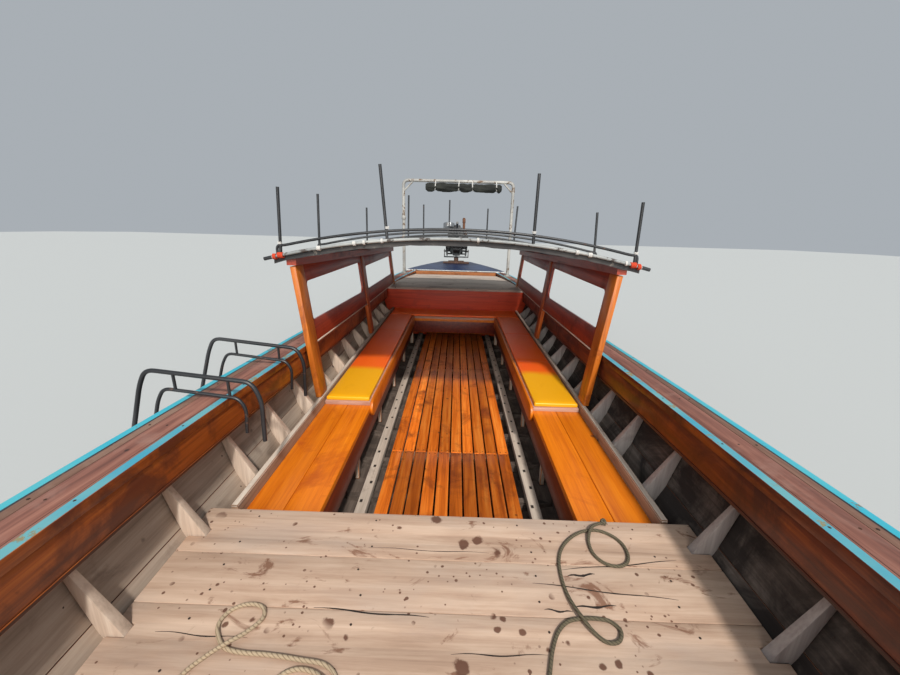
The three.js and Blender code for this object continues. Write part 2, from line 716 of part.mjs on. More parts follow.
// Benches along both sides and across the back, with their pads and outer boards. A lip with a
// rounded front end holds each side pad in
function makeBenches() {
  const split = (benchInner + coamingInner) / 2;
  const benchLow = benchTop - benchThickness;
  const floorUnder = roomFloor(benchInner + 4) + 1;
  const legRows = [-1150, -430, 310, 1050, 1800];
  const sideEnd = aftBenchFront - seam;
  const backEnd = aftDeckFront - bulkheadThickness - 2;
  const padBottom = benchTop + seam;
  const r = (lipTop - lipBottom) / 2;
  const bend = [0, 1, 2, 3, 4, 5, 6].map((i) => {
    const angle = Math.PI * (0.5 + i / 6);
    return [lipFore + r + r * Math.cos(angle), lipBottom + r + r * Math.sin(angle)];
  });
  const lipOutline = [[sideEnd, lipBottom], [sideEnd, lipTop], ...bend];
  for (const [side, sign] of sides) {
    const inner = box(benchInner, split - 2, benchFore, sideEnd, benchLow, benchTop);
    const outer = box(split + 2, coamingInner - seam, benchFore, sideEnd, benchLow, benchTop);
    const supports = legRows.flatMap((y) => [
      box(benchInner + 4, coamingInner - seam, y, y + 45, benchLow - 55, benchLow + 2),
      box(benchInner + 4, benchInner + 46, y, y + 45, floorUnder, benchLow),
    ]);
    const frontLow = benchTop - benchFrontDepth;
    const front = box(benchInner, benchInner + 18, benchFore, sideEnd, frontLow, benchLow + 2);
    const lip = slabAcross(lipOutline, benchInner - lipThickness, benchInner + 1);
    const bench = fuse(inner, outer, front, lip, ...supports);
    add(boat, `bench_${side}`, facingOut(bench.scale(sign, 1, 1)), orangeWood);
    const pad = box(benchInner + 2, coamingInner - 2, padFront, aftBenchFront - 3,
      padBottom, padBottom + padThickness);
    add(boat, `pad_${side}`, facingOut(pad.scale(sign, 1, 1)), vinyl);
    const board = box(coamingInner, coamingOuter, benchFore + 2, backEnd, coamingBottom, foredeckTop);
    add(boat, `coaming_${side}`, facingOut(board.scale(sign, 1, 1)), greyWood);
  }
  const reach = coamingInner - seam;
  const plankAft = box(-reach, reach, aftBenchFront, backEnd, benchLow, benchTop);
  const riserAt = (half, low) =>
    box(-half, half, aftBenchFront + 1, aftBenchFront + 21, low, benchLow + 2);
  const riser = fuse(riserAt(reach, benchTop - 110), riserAt(benchInner + 46, benchTop - benchFrontDepth));
  const legs = [-benchInner - 46, benchInner + 4].map((x) =>
    box(x, x + 42, aftBenchFront + 1, aftBenchFront + 45, floorUnder, benchLow));
  add(boat, "bench_aft", fuse(plankAft, riser, ...legs), orangeWood);
  const padHalf = coamingInner - 2;
  const padAft = box(-padHalf, padHalf, aftBenchFront + 1, backEnd, padBottom, padBottom + padThickness);
  add(boat, "pad_aft", padAft, vinyl);
}

// Height of the inside of the hull's bottom near a half width amidships
function roomFloor(x) {
  const line = innerSkinAt(-1000);
  const [, [keelX, keelZ], [bilgeX, bilgeZ]] = line;
  return keelZ + ((x - keelX) / (bilgeX - keelX)) * (bilgeZ - keelZ) + 14;
}

// Roof arch: height of the sheet's underside
function roofUnder(x, y) {
  const rise = (roofCrownZ - roofEdgeZ) * (1 - (x / roofHalf) ** 2);
  return roofEdgeZ + rise - roofSlope * (y - roofFront) - roofSheetThickness;
}

function makeCabin() {
  for (const [side, sign] of sides) {
    const leaning = new THREE.Group();
    leaning.position.set(sign * cabinFootX, 0, cabinFootZ);
    leaning.rotation.y = sign * lean;
    boat.add(leaning);
    for (const [name, y, width, foot, top] of postTable) {
      const low = (foot - cabinFootZ) / Math.cos(lean) + postThickness * 0.06;
      const high = (top - cabinFootZ) / Math.cos(lean);
      const post = box(-postThickness / 2, postThickness / 2, y - width / 2, y + width / 2, low, high);
      add(leaning, `post_${side}_${name}`, post, name === "2" ? redWood : orangeWood);
    }
    const up = (z) => (z - cabinFootZ) / Math.cos(lean);
    for (const [name, first, foreEnd, aftEnd] of panelTable) {
      const [ahead, behind] = [postTable[first], postTable[first + 1]];
      const from = ahead[1] + ahead[2] / 2 + seam;
      const to = behind[1] - behind[2] / 2 - seam;
      const [topFrom, topTo] = [from, to].map((y) => up(plateUnder(y)) - 3);
      const outline = [[from, up(foreEnd[0])], [to, up(aftEnd[0])], [to, topTo], [from, topFrom]];
      const sills = [[from + foreEnd[2], up(foreEnd[1])], [to - aftEnd[2], up(aftEnd[1])]];
      const hole = cutCornerHole(...sills, topTo - windowDrop);
      const panel = slabAcross(outline, -panelThickness / 2, panelThickness / 2, [hole]);
      add(leaning, `window_frame_${side}_${name}`, panel, redWood);
    }
  }
}

// Underside of the wooden plates that lie on the post tops
function plateUnder(y) {
  const [, firstY, width, , top] = postTable[0];
  return top + (postThickness / 2) * Math.sin(lean) + roofSlope * (width / 2 + firstY - y) + 2 * seam;
}

// A window's hole over a sloping sill, with each corner cut off straight
function cutCornerHole([y0, foreSill], [y1, aftSill], top) {
  const r = windowCorner;
  const points = [
    [y0 + r, foreSill], [y1 - r, aftSill], [y1, aftSill + r], [y1, top - r],
    [y1 - r, top], [y0 + r, top], [y0, top - r], [y0, foreSill + r],
  ];
  return new THREE.Path(points.map(([y, z]) => new THREE.Vector2(y, z)));
}

function makeRoof() {
  const columns = 12;
  const across = Array.from({ length: columns + 1 }, (_, i) => roofHalf * (2 * i / columns - 1));
  const hemBack = roofFront + hemThickness;
  const rows = [[roofFront, hemDepth], [hemBack, hemDepth], [hemBack + seam, 0], [roofBack, 0]];
  const sheet = loft(rows.map(([y, hem]) => ({
    y,
    outline: [
      ...across.map((x) => [x, roofUnder(x, y) - hem]),
      ...[...across].reverse().map((x) => [x, roofUnder(x, y) + roofSheetThickness]),
    ],
  })));
  add(boat, "roof_sheet", sheet, roofPaint);

  // Wooden plates on the post tops, under the sheet
  for (const [side, sign] of sides) {
    const middle = cabinFootX + (postTable[0][4] - cabinFootZ) * Math.tan(lean);
    const plate = loft([hemBack + 3, roofBack - 30].map((y) => {
      const slide = -roofSlope * (y - roofFront) * Math.tan(lean);
      const inner = middle - plateWidth / 2 + slide;
      const outer = middle + plateWidth / 2 + slide;
      const low = plateUnder(y);
      const top = roofUnder(outer, y) - 1.3;
      return { y, outline: [[inner, low], [outer, low], [outer, top], [inner, top]] };
    }));
    add(boat, `roof_plate_${side}`, facingOut(plate.scale(sign, 1, 1)), redWood);
  }

  const archLine = (y, half, lift, count) => Array.from({ length: count + 1 }, (_, i) => {
    const x = half * (2 * i / count - 1);
    return [x, y, roofUnder(x, y) + roofSheetThickness + lift];
  });
  const pipeY = roofFront - frontPipeRadius - seam;
  const frontPipe = pipe(archLine(pipeY, roofHalf + 55, -2, 12), frontPipeRadius);
  add(boat, "roof_front_pipe", frontPipe, palePipe);

  hoopTable.forEach(([y, half, poles], i) => {
    const over = archLine(y, half - 45, railRise, 10);
    const [left, right] = [over[0], over.at(-1)];
    const foot = (sign) => [sign * half, y, roofUnder(half, y) + roofSheetThickness + footLift];
    const bend = (sign, end) => [[sign * half, y, end[2] - 38], [sign * (half - 12), y, end[2] - 12]];
    const path = [foot(-1), ...bend(-1, left), ...over, ...bend(1, right).reverse(), foot(1)];
    const uprights = poles.map(([x, topX, height]) => {
      const base = roofUnder(x, y) + roofSheetThickness + footLift;
      return pipe([[x, y, base], [topX, y, base + railRise + height]], poleRadius);
    });
    add(boat, `roof_hoop_${i + 1}`, fuse(pipe(path, railRadius), ...uprights), blackPipe);
  });
}

function makeSternArch() {
  const footZ = Math.max(sheerAt(archY - 60), sheerAt(archY + 60)) + seam;
  const foot = (sign) => [sign * archHalf, archY, footZ + 7];
  const corner = (sign) => [sign * archHalf, archY, archTop];
  const path = rounded([foot(-1), corner(-1), corner(1), foot(1)], 90, 4);
  const braces = [-1, 1].map((sign) =>
    pipe([[sign * archHalf, archY, archTop - 180], [sign * (archHalf - 180), archY, archTop]], 14));
  const feet = [-1, 1].map((sign) =>
    moved(box(-60, 60, -60, 60, 0, 12), sign * archHalf, archY, footZ));
  const collar = moved(rod(36, 0, 60, 12, "z"), -archHalf, archY, 1560);
  add(boat, "stern_arch", fuse(pipe(path, archPipe, 12), ...braces, ...feet, collar), archPaint);
  const rollZ = archTop - archPipe - rollRadius - seam;
  const roll = moved(rod(rollRadius, rollStarboard, rollPort, 14, "x"), 0, archY, rollZ);
  add(boat, "awning_roll", roll, canvas);
}

// Two stiles hooked over the gunwale, each of two nested pipes, with rungs outboard
function makeLadder() {
  const outerPath = [
    [-858, 480], [-850, 680], [-885, 771], [-1350, 816], [-1390, 740], [-1475, 480], [-1590, -640],
  ];
  const innerPath = [
    [-935, 520], [-925, 640], [-955, 692.4], [-1285, 728.4], [-1320, 670], [-1408, 400], [-1482, 385],
  ];
  const rungHeights = [310, 40, -230, -500];
  const parts = [];
  for (const y of [stileFore, stileAft]) {
    const place = ([x, z]) => [x, y, z];
    parts.push(pipe(rounded(outerPath.map(place), 45, 2), ladderPipe));
    parts.push(pipe(rounded(innerPath.map(place), 35, 2), ladderPipe - 2));
    for (const [x, low, high] of [[-1230, 721, 804], [-990, 696, 781]]) {
      parts.push(pipe([[x, y, low], [x, y, high]], 6.5, 6));
    }
  }
  const [[highX, highZ], [lowX, lowZ]] = outerPath.slice(-2);
  for (const z of rungHeights) {
    const x = highX + ((z - highZ) / (lowZ - highZ)) * (lowX - highX);
    parts.push(pipe([[x, stileFore, z], [x, stileAft, z]], ladderPipe - 1));
  }
  add(boat, "boarding_ladder", fuse(...parts), blackPipe);
}

function makeEngineBed() {
  const beam = loft(between(pivotY - 110, pivotY + 110).map((y) => {
    const low = sternDeckTop(y) + seam;
    return { y, outline: [[-280, low], [280, low], [280, bedTop - 20], [-280, bedTop - 20]] };
  }));
  const plate = box(-170, 170, pivotY - 100, pivotY + 100, bedTop - 21, bedTop);
  const bore = pinRadius + 1;
  const ring = [[bore, 0], [socketRadius, 0], [socketRadius, 70], [bore, 70], [bore, 0]];
  const socket = moved(turned(ring, 16, "z"), 0, pivotY, bedTop - 1);
  add(boat, "engine_bed", fuse(beam, plate, socket), hullPaint);
}

function makeEngineYoke() {
  const swivel = new THREE.Group();
  swivel.position.set(0, pivotY, 0);
  boat.add(swivel);
  const baseZ = bedTop + 75;
  const pin = rod(pinRadius, bedTop + 3, baseZ + 5, 16, "z");
  const baseHalf = yokeHalf + yokePlate / 2;
  const base = box(-baseHalf, baseHalf, -55, 55, baseZ, baseZ + 18);
  const arms = [-1, 1].map((sign) => {
    const hole = new THREE.Path();
    hole.absarc(0, pivotZ, trunnionRadius + 1, 0, Math.PI * 2);
    const outline = [
      [-55, baseZ + 1], [55, baseZ + 1], [34, pivotZ + 12], [16, pivotZ + 40],
      [-16, pivotZ + 40], [-34, pivotZ + 12],
    ];
    const x = sign * yokeHalf;
    return slabAcross(outline, x - yokePlate / 2, x + yokePlate / 2, [hole]);
  });
  add(swivel, "engine_yoke", fuse(pin, base, ...arms), engineBlack);
}

// The engine in its own frame: local Y runs aft along the shaft, the tilt axis is local X
function makeEngine() {
  const unit = new THREE.Group();
  unit.position.set(0, pivotY, pivotZ);
  unit.rotation.x = -shaftAngle;
  boat.add(unit);

  const pair = (x0, x1, ...rest) => [box(x0, x1, ...rest), box(-x1, -x0, ...rest)];
  const rails = pair(190, 222, -470, 300, -28, 28);
  const crossbars = [-440, 154].map((y) => box(-200, 200, y, y + 34, -25, 0));
  const pins = [205, -271].map((x) => moved(rod(trunnionRadius, 0, 66, 12, "x"), x, 0, 0));
  add(unit, "engine_frame", fuse(...rails, ...crossbars, ...pins), engineBlack);

  const block = box(-135, 135, -380, 190, 5.5, 300);
  const sumpOutline = [[-70, -62], [70, -62], [110, 8], [-110, 8]];
  const sump = loft([-340, 150].map((y) => ({ y, outline: sumpOutline })));
  const lugs = [[-120, -60], [110, 165]].flatMap(([y0, y1]) => pair(130, 215, y0, y1, 29, 60));
  const alternator = moved(rod(62, -400, -250, 14, "y"), 175, 0, 190);
  const startMotor = moved(rod(45, 0, 170, 12, "y"), -165, 0, 110);
  // Columns: x, z, radius
  const pulleyTable = [[0, 90, 85], [0, 250, 60], [175, 190, 40]];
  const pulleys = pulleyTable.map(([x, z, r]) => moved(rod(r, -430, -375, 16, "y"), x, 0, z));
  const blockBody = fuse(block, sump, ...lugs, alternator, startMotor, ...pulleys);
  add(unit, "engine_block", blockBody, engineBlack);

  const head = box(-105, 105, -370, 180, 300.5, 400);
  const coverOutline = [[-80, 399], [80, 399], [62, 455], [-62, 455]];
  const cover = loft([-350, 160].map((y) => ({ y, outline: coverOutline })));
  add(unit, "cylinder_head", fuse(head, cover), engineBlack);

  const ports = [-300, -165, -30, 105];
  const manifold = fuse(
    ...ports.map((y) => pipe(rounded([[105.5, y, 350], [165, y, 350], [185, y, 310]], 25), 22)),
    moved(rod(32, -340, 150, 10, "y"), 185, 0, 300),
    pipe(rounded([[185, 130, 300], [185, 190, 330], [150, 215, 460], [150, 215, 720]], 60), 26),
    pipe(rounded([[150, 215, 700], [150, 215, 760], [150, 290, 800]], 40), 34));
  add(unit, "exhaust", manifold, rust);

  const intake = fuse(
    ...ports.map((y) => pipe([[-105.5, y, 350], [-175, y, 350]], 20)),
    moved(rod(28, -330, 135, 10, "y"), -175, 0, 352),
    moved(rod(34, 360, 480, 10, "z"), -175, -100, 0),
    moved(rod(120, 470, 560, 18, "z"), -175, -100, 0));
  add(unit, "air_cleaner", intake, steel);

  const bellProfile = [[0, 190.5], [178, 190.5], [178, 240], [90, 330], [62, 400], [0, 400]];
  const bell = moved(turned(bellProfile, 20, "y"), 0, 0, shaftAxisZ);
  add(unit, "bell_housing", bell, steel);

  const bore = rod(shaftRadius + 0.6, shaftEnd - 90, shaftEnd + 10, 16, "y");
  const tube = cut(rod(shaftTubeRadius, 400.5, shaftEnd, 12, "y"), bore);
  const bearing = cut(rod(44, shaftEnd - 150, shaftEnd - 2, 12, "y"), bore);
  const gland = rod(46, 410, 480, 12, "y");
  // Fins in the middle plane, points of distance before the shaft's end and height
  const fin = (points, half) => slabAcross(points.map(([y, z]) => [shaftEnd - y, z]), -half, half);
  const skeg = fin([[330, -20], [40, -20], [-60, -215], [20, -235], [260, -60]], 5);
  const guard = fin([[700, 20], [200, 20], [260, 70], [560, 60]], 4);
  add(unit, "shaft_tube", moved(fuse(tube, gland, bearing, skeg, guard), 0, 0, shaftAxisZ), steel);

  const tillerPath = rounded([[0, -470.5, 5], [0, -620, 30], [0, -860, 115], [0, -1285, 180]], 120, 4);
  const grip = pipe([[0, -1135, 157], [0, -1305, 183]], 23, 10);
  const tillerBracket = box(-215, 215, -484, -470.5, -25, 25);
  add(unit, "tiller", fuse(pipe(tillerPath, 17), grip, tillerBracket), blackPipe);

  makePropeller(unit);
}

function makePropeller(unit) {
  const hubStart = shaftEnd + 3;
  // Points of radius and distance from the hub's front face
  const profile = [
    [0, -80], [shaftRadius, -80], [shaftRadius, 0], [34, 0], [36, 70], [24, 120], [0, 135],
  ];
  const hub = turned(profile.map(([radius, along]) => [radius, hubStart + along]), 16, "y");
  const bladeCount = 2;
  const blades = Array.from({ length: bladeCount }, (_, i) => {
    const outline = new THREE.Shape();
    outline.moveTo(20, -26);
    outline.quadraticCurveTo(95, -72, propellerRadius, -8);
    outline.quadraticCurveTo(100, 70, 20, 26);
    const options = { depth: 8, bevelEnabled: false, curveSegments: 6 };
    const blade = new THREE.ExtrudeGeometry(outline, options);
    blade.translate(0, 0, -4);
    blade.rotateX(THREE.MathUtils.degToRad(52));
    blade.rotateY((i / bladeCount) * 2 * Math.PI);
    blade.translate(0, hubStart + 45, 0);
    return facingOut(blade);
  });
  const mesh = add(unit, "propeller", fuse(hub, ...blades), bronze);
  mesh.position.z = shaftAxisZ;
}

// Ropes that lie on the foredeck, with a knot in each end
function makeRopes() {
  const reach = ropeRadius / Math.cos(Math.PI / 8);
  for (const [side, route] of Object.entries(ropeRoutes)) {
    const middle = foredeckTop + 0.3 + reach;
    const corners = route.map(([x, y, lift]) => new THREE.Vector3(x, y, middle + lift));
    const line = new THREE.CatmullRomCurve3(corners, false, "centripetal");
    const tube = pipe(line.getSpacedPoints(78), ropeRadius);
    const knots = [corners[0], corners.at(-1)].map(({ x, y }) =>
      moved(new THREE.SphereGeometry(knotRadius, 10, 8), x, y, foredeckTop + 0.3 + knotRadius));
    add(boat, `rope_${side}`, fuse(tube, ...knots), ropeFibre);
  }
}

makeHullBottom();
makeHullSides();
makeKeelAndStem();
makeTransom();
makeGunwales();
makeSternDeck();
makeDecks();
makeFloor();
makeBenches();
makeCabin();
makeRoof();
makeSternArch();
makeLadder();
makeEngineBed();
makeEngineYoke();
makeEngine();
makeRopes();

export default boat;
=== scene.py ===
# A wooden longtail boat afloat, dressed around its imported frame.
# Metres. X points to port, Y aft and Z up; the floor stands for the water at Z = 0.
import json
import math
import random

import bmesh
import bpy
from mathutils import Matrix, Vector
from mathutils.geometry import tessellate_polygon

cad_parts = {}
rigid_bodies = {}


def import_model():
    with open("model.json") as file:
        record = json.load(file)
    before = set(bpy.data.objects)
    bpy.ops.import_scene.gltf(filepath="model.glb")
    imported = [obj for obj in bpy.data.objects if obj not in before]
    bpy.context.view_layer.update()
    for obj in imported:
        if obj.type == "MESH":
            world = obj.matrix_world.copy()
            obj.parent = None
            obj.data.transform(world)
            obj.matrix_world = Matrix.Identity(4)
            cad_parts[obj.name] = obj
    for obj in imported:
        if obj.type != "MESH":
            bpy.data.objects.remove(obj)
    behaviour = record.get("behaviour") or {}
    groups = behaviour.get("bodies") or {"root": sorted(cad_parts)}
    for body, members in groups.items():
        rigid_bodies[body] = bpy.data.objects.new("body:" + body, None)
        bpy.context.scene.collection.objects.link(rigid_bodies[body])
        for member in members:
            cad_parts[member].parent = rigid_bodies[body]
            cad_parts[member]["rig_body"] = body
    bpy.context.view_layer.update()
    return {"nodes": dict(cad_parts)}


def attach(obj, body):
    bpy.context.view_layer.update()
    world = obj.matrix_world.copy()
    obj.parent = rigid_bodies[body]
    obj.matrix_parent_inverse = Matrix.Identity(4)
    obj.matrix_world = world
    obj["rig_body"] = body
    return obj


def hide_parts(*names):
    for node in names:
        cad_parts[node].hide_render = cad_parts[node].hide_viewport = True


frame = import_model()
nodes = frame["nodes"]
random.seed(7)

SIDES = (("port", 1), ("starboard", -1))

# Camera, at the photograph's viewpoint on the foredeck
CAMERA = (0.0, -2.5, 1.45)
CAMERA_PITCH = 16.6
CAMERA_ROLL = 1.6
CAMERA_YAW = 0.6
CAMERA_LENS = 14.8

# Sun over the bow, a little to port
SUN_HEIGHT = 47
SUN_TURN = 14
# Soft light from ahead, low enough to reach under the roof
FILL_HEIGHT = 20

# Hull, from the frame's driving dimensions
SEAM = 0.0005
PLANK = 0.032
CAP_WIDTH = 0.178
CAP_OVERHANG = 0.032
CAP_THICKNESS = 0.036
RUB_WIDTH = 0.042
WALE_HEIGHT = 0.130
WALE_THICKNESS = 0.024
HULL_FRONT = -5.85
HULL_BACK = 5.9
TRANSOM = 0.045

# Columns: y, sheer half width, sheer height, side half width, side height, bilge half width,
# bilge height
HULL = [
    (-6.0, 0.062, 1.290, 0.056, 1.220, 0.048, 1.170),
    (-5.7, 0.130, 1.195, 0.100, 0.950, 0.062, 0.690),
    (-5.3, 0.280, 1.090, 0.205, 0.720, 0.110, 0.375),
    (-4.8, 0.470, 0.985, 0.365, 0.560, 0.205, 0.150),
    (-4.0, 0.740, 0.865, 0.610, 0.410, 0.365, -0.010),
    (-3.0, 1.020, 0.770, 0.880, 0.290, 0.545, -0.120),
    (-2.0, 1.125, 0.722, 1.000, 0.225, 0.655, -0.165),
    (-1.0, 1.145, 0.688, 1.030, 0.200, 0.705, -0.180),
    (1.0, 1.145, 0.612, 1.035, 0.200, 0.715, -0.180),
    (3.3, 1.140, 0.584, 1.030, 0.195, 0.705, -0.175),
    (4.6, 0.930, 0.632, 0.850, 0.215, 0.600, -0.150),
    (5.3, 0.620, 0.668, 0.560, 0.265, 0.390, -0.110),
    (5.9, 0.300, 0.690, 0.262, 0.320, 0.170, -0.060),
]

# Ribs, decks, floor and benches
RIB_FIRST = -2.45
RIB_PITCH = 0.37
RIB_COUNT = 15
RIB_DEPTH = 0.058
RIB_TOP_DEPTH = 0.016
DECK = 0.030
BOW_DECK_AFT = -2.62
BOW_DECK_DROP = 0.060
FOREDECK_AFT = -1.21
FOREDECK_TOP = 0.275
AFT_DECK_FRONT = 3.0
AFT_DECK_TOP = 0.576
AFT_DECK_BACK = 4.638
STERN_DECK_FRONT = 4.640
STERN_DECK = 0.026
STRINGER_INNER = 0.470
STRINGER_WIDTH = 0.060
BULKHEAD = 0.025
# A little ahead of the aft bulkhead, where benches, coamings and wale boards end
CABIN_END = AFT_DECK_FRONT - BULKHEAD - 0.002
FLOOR_TOP = -0.085
SLAT_WIDTH = 0.074
SLAT_GAP = 0.010
SLAT_COUNT = 10
SLAT_THICKNESS = 0.022
BEARER_HEIGHT = 0.036
FLOOR_FORE = -1.195
FLOOR_AFT = 2.985
FLOOR_JOINT = -0.21
BENCH_INNER = 0.577
BENCH_TOP = 0.210
BENCH_THICKNESS = 0.030
BENCH_FORE = -1.195
AFT_BENCH_FRONT = 2.555
LIP_BOTTOM = 0.130
LIP_TOP = 0.255
LIP_FORE = -0.150
PAD_FRONT = -0.114
PAD_THICKNESS = 0.062
PLY_THICKNESS = 0.028
COAMING_INNER = 0.910
COAMING_OUTER = 0.940
COAMING_BOTTOM = 0.190
KNEE = COAMING_BOTTOM - 0.008

# Cabin sides, which lean outward from their feet
LEAN = math.atan2(0.090, 0.830)
CABIN_FOOT = (0.937, 0.275)
POST = 0.038
PANEL = 0.022
WINDOW_DROP = 0.062
# Columns: y, width along the boat, foot height, top height
POSTS = [(-0.080, 0.125, 0.2755, 1.185), (1.540, 0.105, 0.2755, 1.128),
         (3.290, 0.100, 0.5765, 1.066)]
# Columns: name, post at the fore end, then at the panel's fore and aft end: its lower edge, its
# window's lower edge, and the width of the frame beside the window
PANELS = [
    ("fore", 0, (0.642, 0.800, 0.022), (0.607, 0.765, 0.060)),
    ("aft", 1, (0.603, 0.758, 0.060), (0.588, 0.745, 0.022)),
]

# Roof
ROOF_FRONT = -0.17
ROOF_BACK = 3.5
ROOF_SLOPE = 0.035
ROOF_HALF = 1.135
ROOF_EDGE = 1.246
ROOF_CROWN = 1.382
ROOF_SHEET = 0.009
HEM_DEPTH = 0.034
HEM = 0.012
FRONT_PIPE = 0.011
RAIL_RISE = 0.055
RAIL = 0.0085
POLE = 0.0095
FOOT_LIFT = 0.0023
# Columns: y, half width of the hoop, then its poles: x at the foot, x at the top, height
HOOPS = [
    (-0.150, 1.118, [(-1.098, -1.078, 0.342), (-0.428, -0.462, 0.372), (0.470, 0.470, 0.348),
                     (1.105, 1.098, 0.312)]),
    (0.550, 1.118, [(-1.106, -1.090, 0.385), (1.106, 1.085, 0.305)]),
    (1.800, 1.118, [(-1.012, -1.004, 0.370), (-0.545, -0.538, 0.432), (0.640, 0.655, 0.362)]),
    (2.600, 1.118, [(-0.443, -0.443, 0.402), (-0.105, -0.105, 0.446), (0.395, 0.395, 0.368)]),
]

# Boarding ladder
STILES = (-1.010, -0.530)
LADDER_PIPE = 0.010

# Stern arch and awning
ARCH_Y = 4.3
ARCH_HALF = 0.940
ARCH_TOP = 2.2
ARCH_PIPE = 0.026
ROLL_RADIUS = 0.072
ROLL_STARBOARD = -0.56
ROLL_PORT = 0.74

# Just above the foredeck, where the ropes and the cracks lie
ON_DECK = FOREDECK_TOP + 0.0003

# Ropes on the foredeck, the same routes as the frame's. Columns: x, y, lift over itself
ROPE_DIAMETER = 0.012
KNOT_RADIUS = 0.014
ROPE_ROUTES = {
    "starboard": [
        (-0.470, -2.045, 0), (-0.446, -1.998, 0), (-0.412, -1.958, 0), (-0.362, -1.929, 0),
        (-0.311, -1.902, 0), (-0.284, -1.862, 0), (-0.287, -1.816, 0), (-0.324, -1.786, 0),
        (-0.403, -1.774, 0), (-0.500, -1.765, 0), (-0.575, -1.762, 0), (-0.626, -1.752, 0),
        (-0.662, -1.724, 0), (-0.683, -1.690, 0), (-0.678, -1.655, 0), (-0.648, -1.630, 0),
        (-0.606, -1.624, 0), (-0.572, -1.636, 0), (-0.560, -1.666, 0.002), (-0.586, -1.714, 0.008),
        (-0.626, -1.752, 0.014), (-0.664, -1.782, 0.008), (-0.698, -1.820, 0.002),
        (-0.714, -1.870, 0), (-0.701, -1.918, 0), (-0.664, -1.954, 0), (-0.610, -1.966, 0),
        (-0.552, -1.960, 0), (-0.500, -1.944, 0), (-0.470, -1.912, 0), (-0.466, -1.868, 0),
        (-0.450, -1.826, 0), (-0.412, -1.800, 0), (-0.360, -1.802, 0.002),
        (-0.318, -1.825, 0.009), (-0.285, -1.857, 0.014), (-0.262, -1.900, 0.008),
        (-0.246, -1.950, 0.002), (-0.238, -2.000, 0), (-0.236, -2.045, 0),
    ],
    "port": [
        (0.648, -1.226, 0), (0.616, -1.242, 0.007), (0.586, -1.266, 0.014),
        (0.564, -1.298, 0.007), (0.551, -1.340, 0.001), (0.555, -1.390, 0), (0.584, -1.425, 0),
        (0.628, -1.434, 0), (0.666, -1.416, 0), (0.685, -1.374, 0), (0.680, -1.325, 0),
        (0.648, -1.286, 0), (0.604, -1.268, 0), (0.545, -1.277, 0), (0.481, -1.317, 0),
        (0.437, -1.366, 0), (0.413, -1.421, 0), (0.404, -1.485, 0), (0.405, -1.540, 0.001),
        (0.412, -1.588, 0.008), (0.426, -1.632, 0.014), (0.449, -1.672, 0.008),
        (0.484, -1.698, 0.001), (0.522, -1.692, 0), (0.538, -1.662, 0), (0.518, -1.636, 0),
        (0.474, -1.628, 0), (0.428, -1.630, 0), (0.384, -1.640, 0), (0.347, -1.670, 0),
        (0.318, -1.718, 0), (0.297, -1.772, 0), (0.278, -1.830, 0), (0.264, -1.885, 0),
        (0.254, -1.940, 0), (0.250, -1.995, 0), (0.250, -2.045, 0),
    ],
}


# Materials

# How far a plank's own number moves its pattern, and how far the grain is stretched along an axis
ISLAND_SHIFT = 37.0
GRAIN = {"x": (1.1, 26.0, 26.0), "y": (26.0, 1.1, 26.0), "z": (26.0, 26.0, 1.1)}


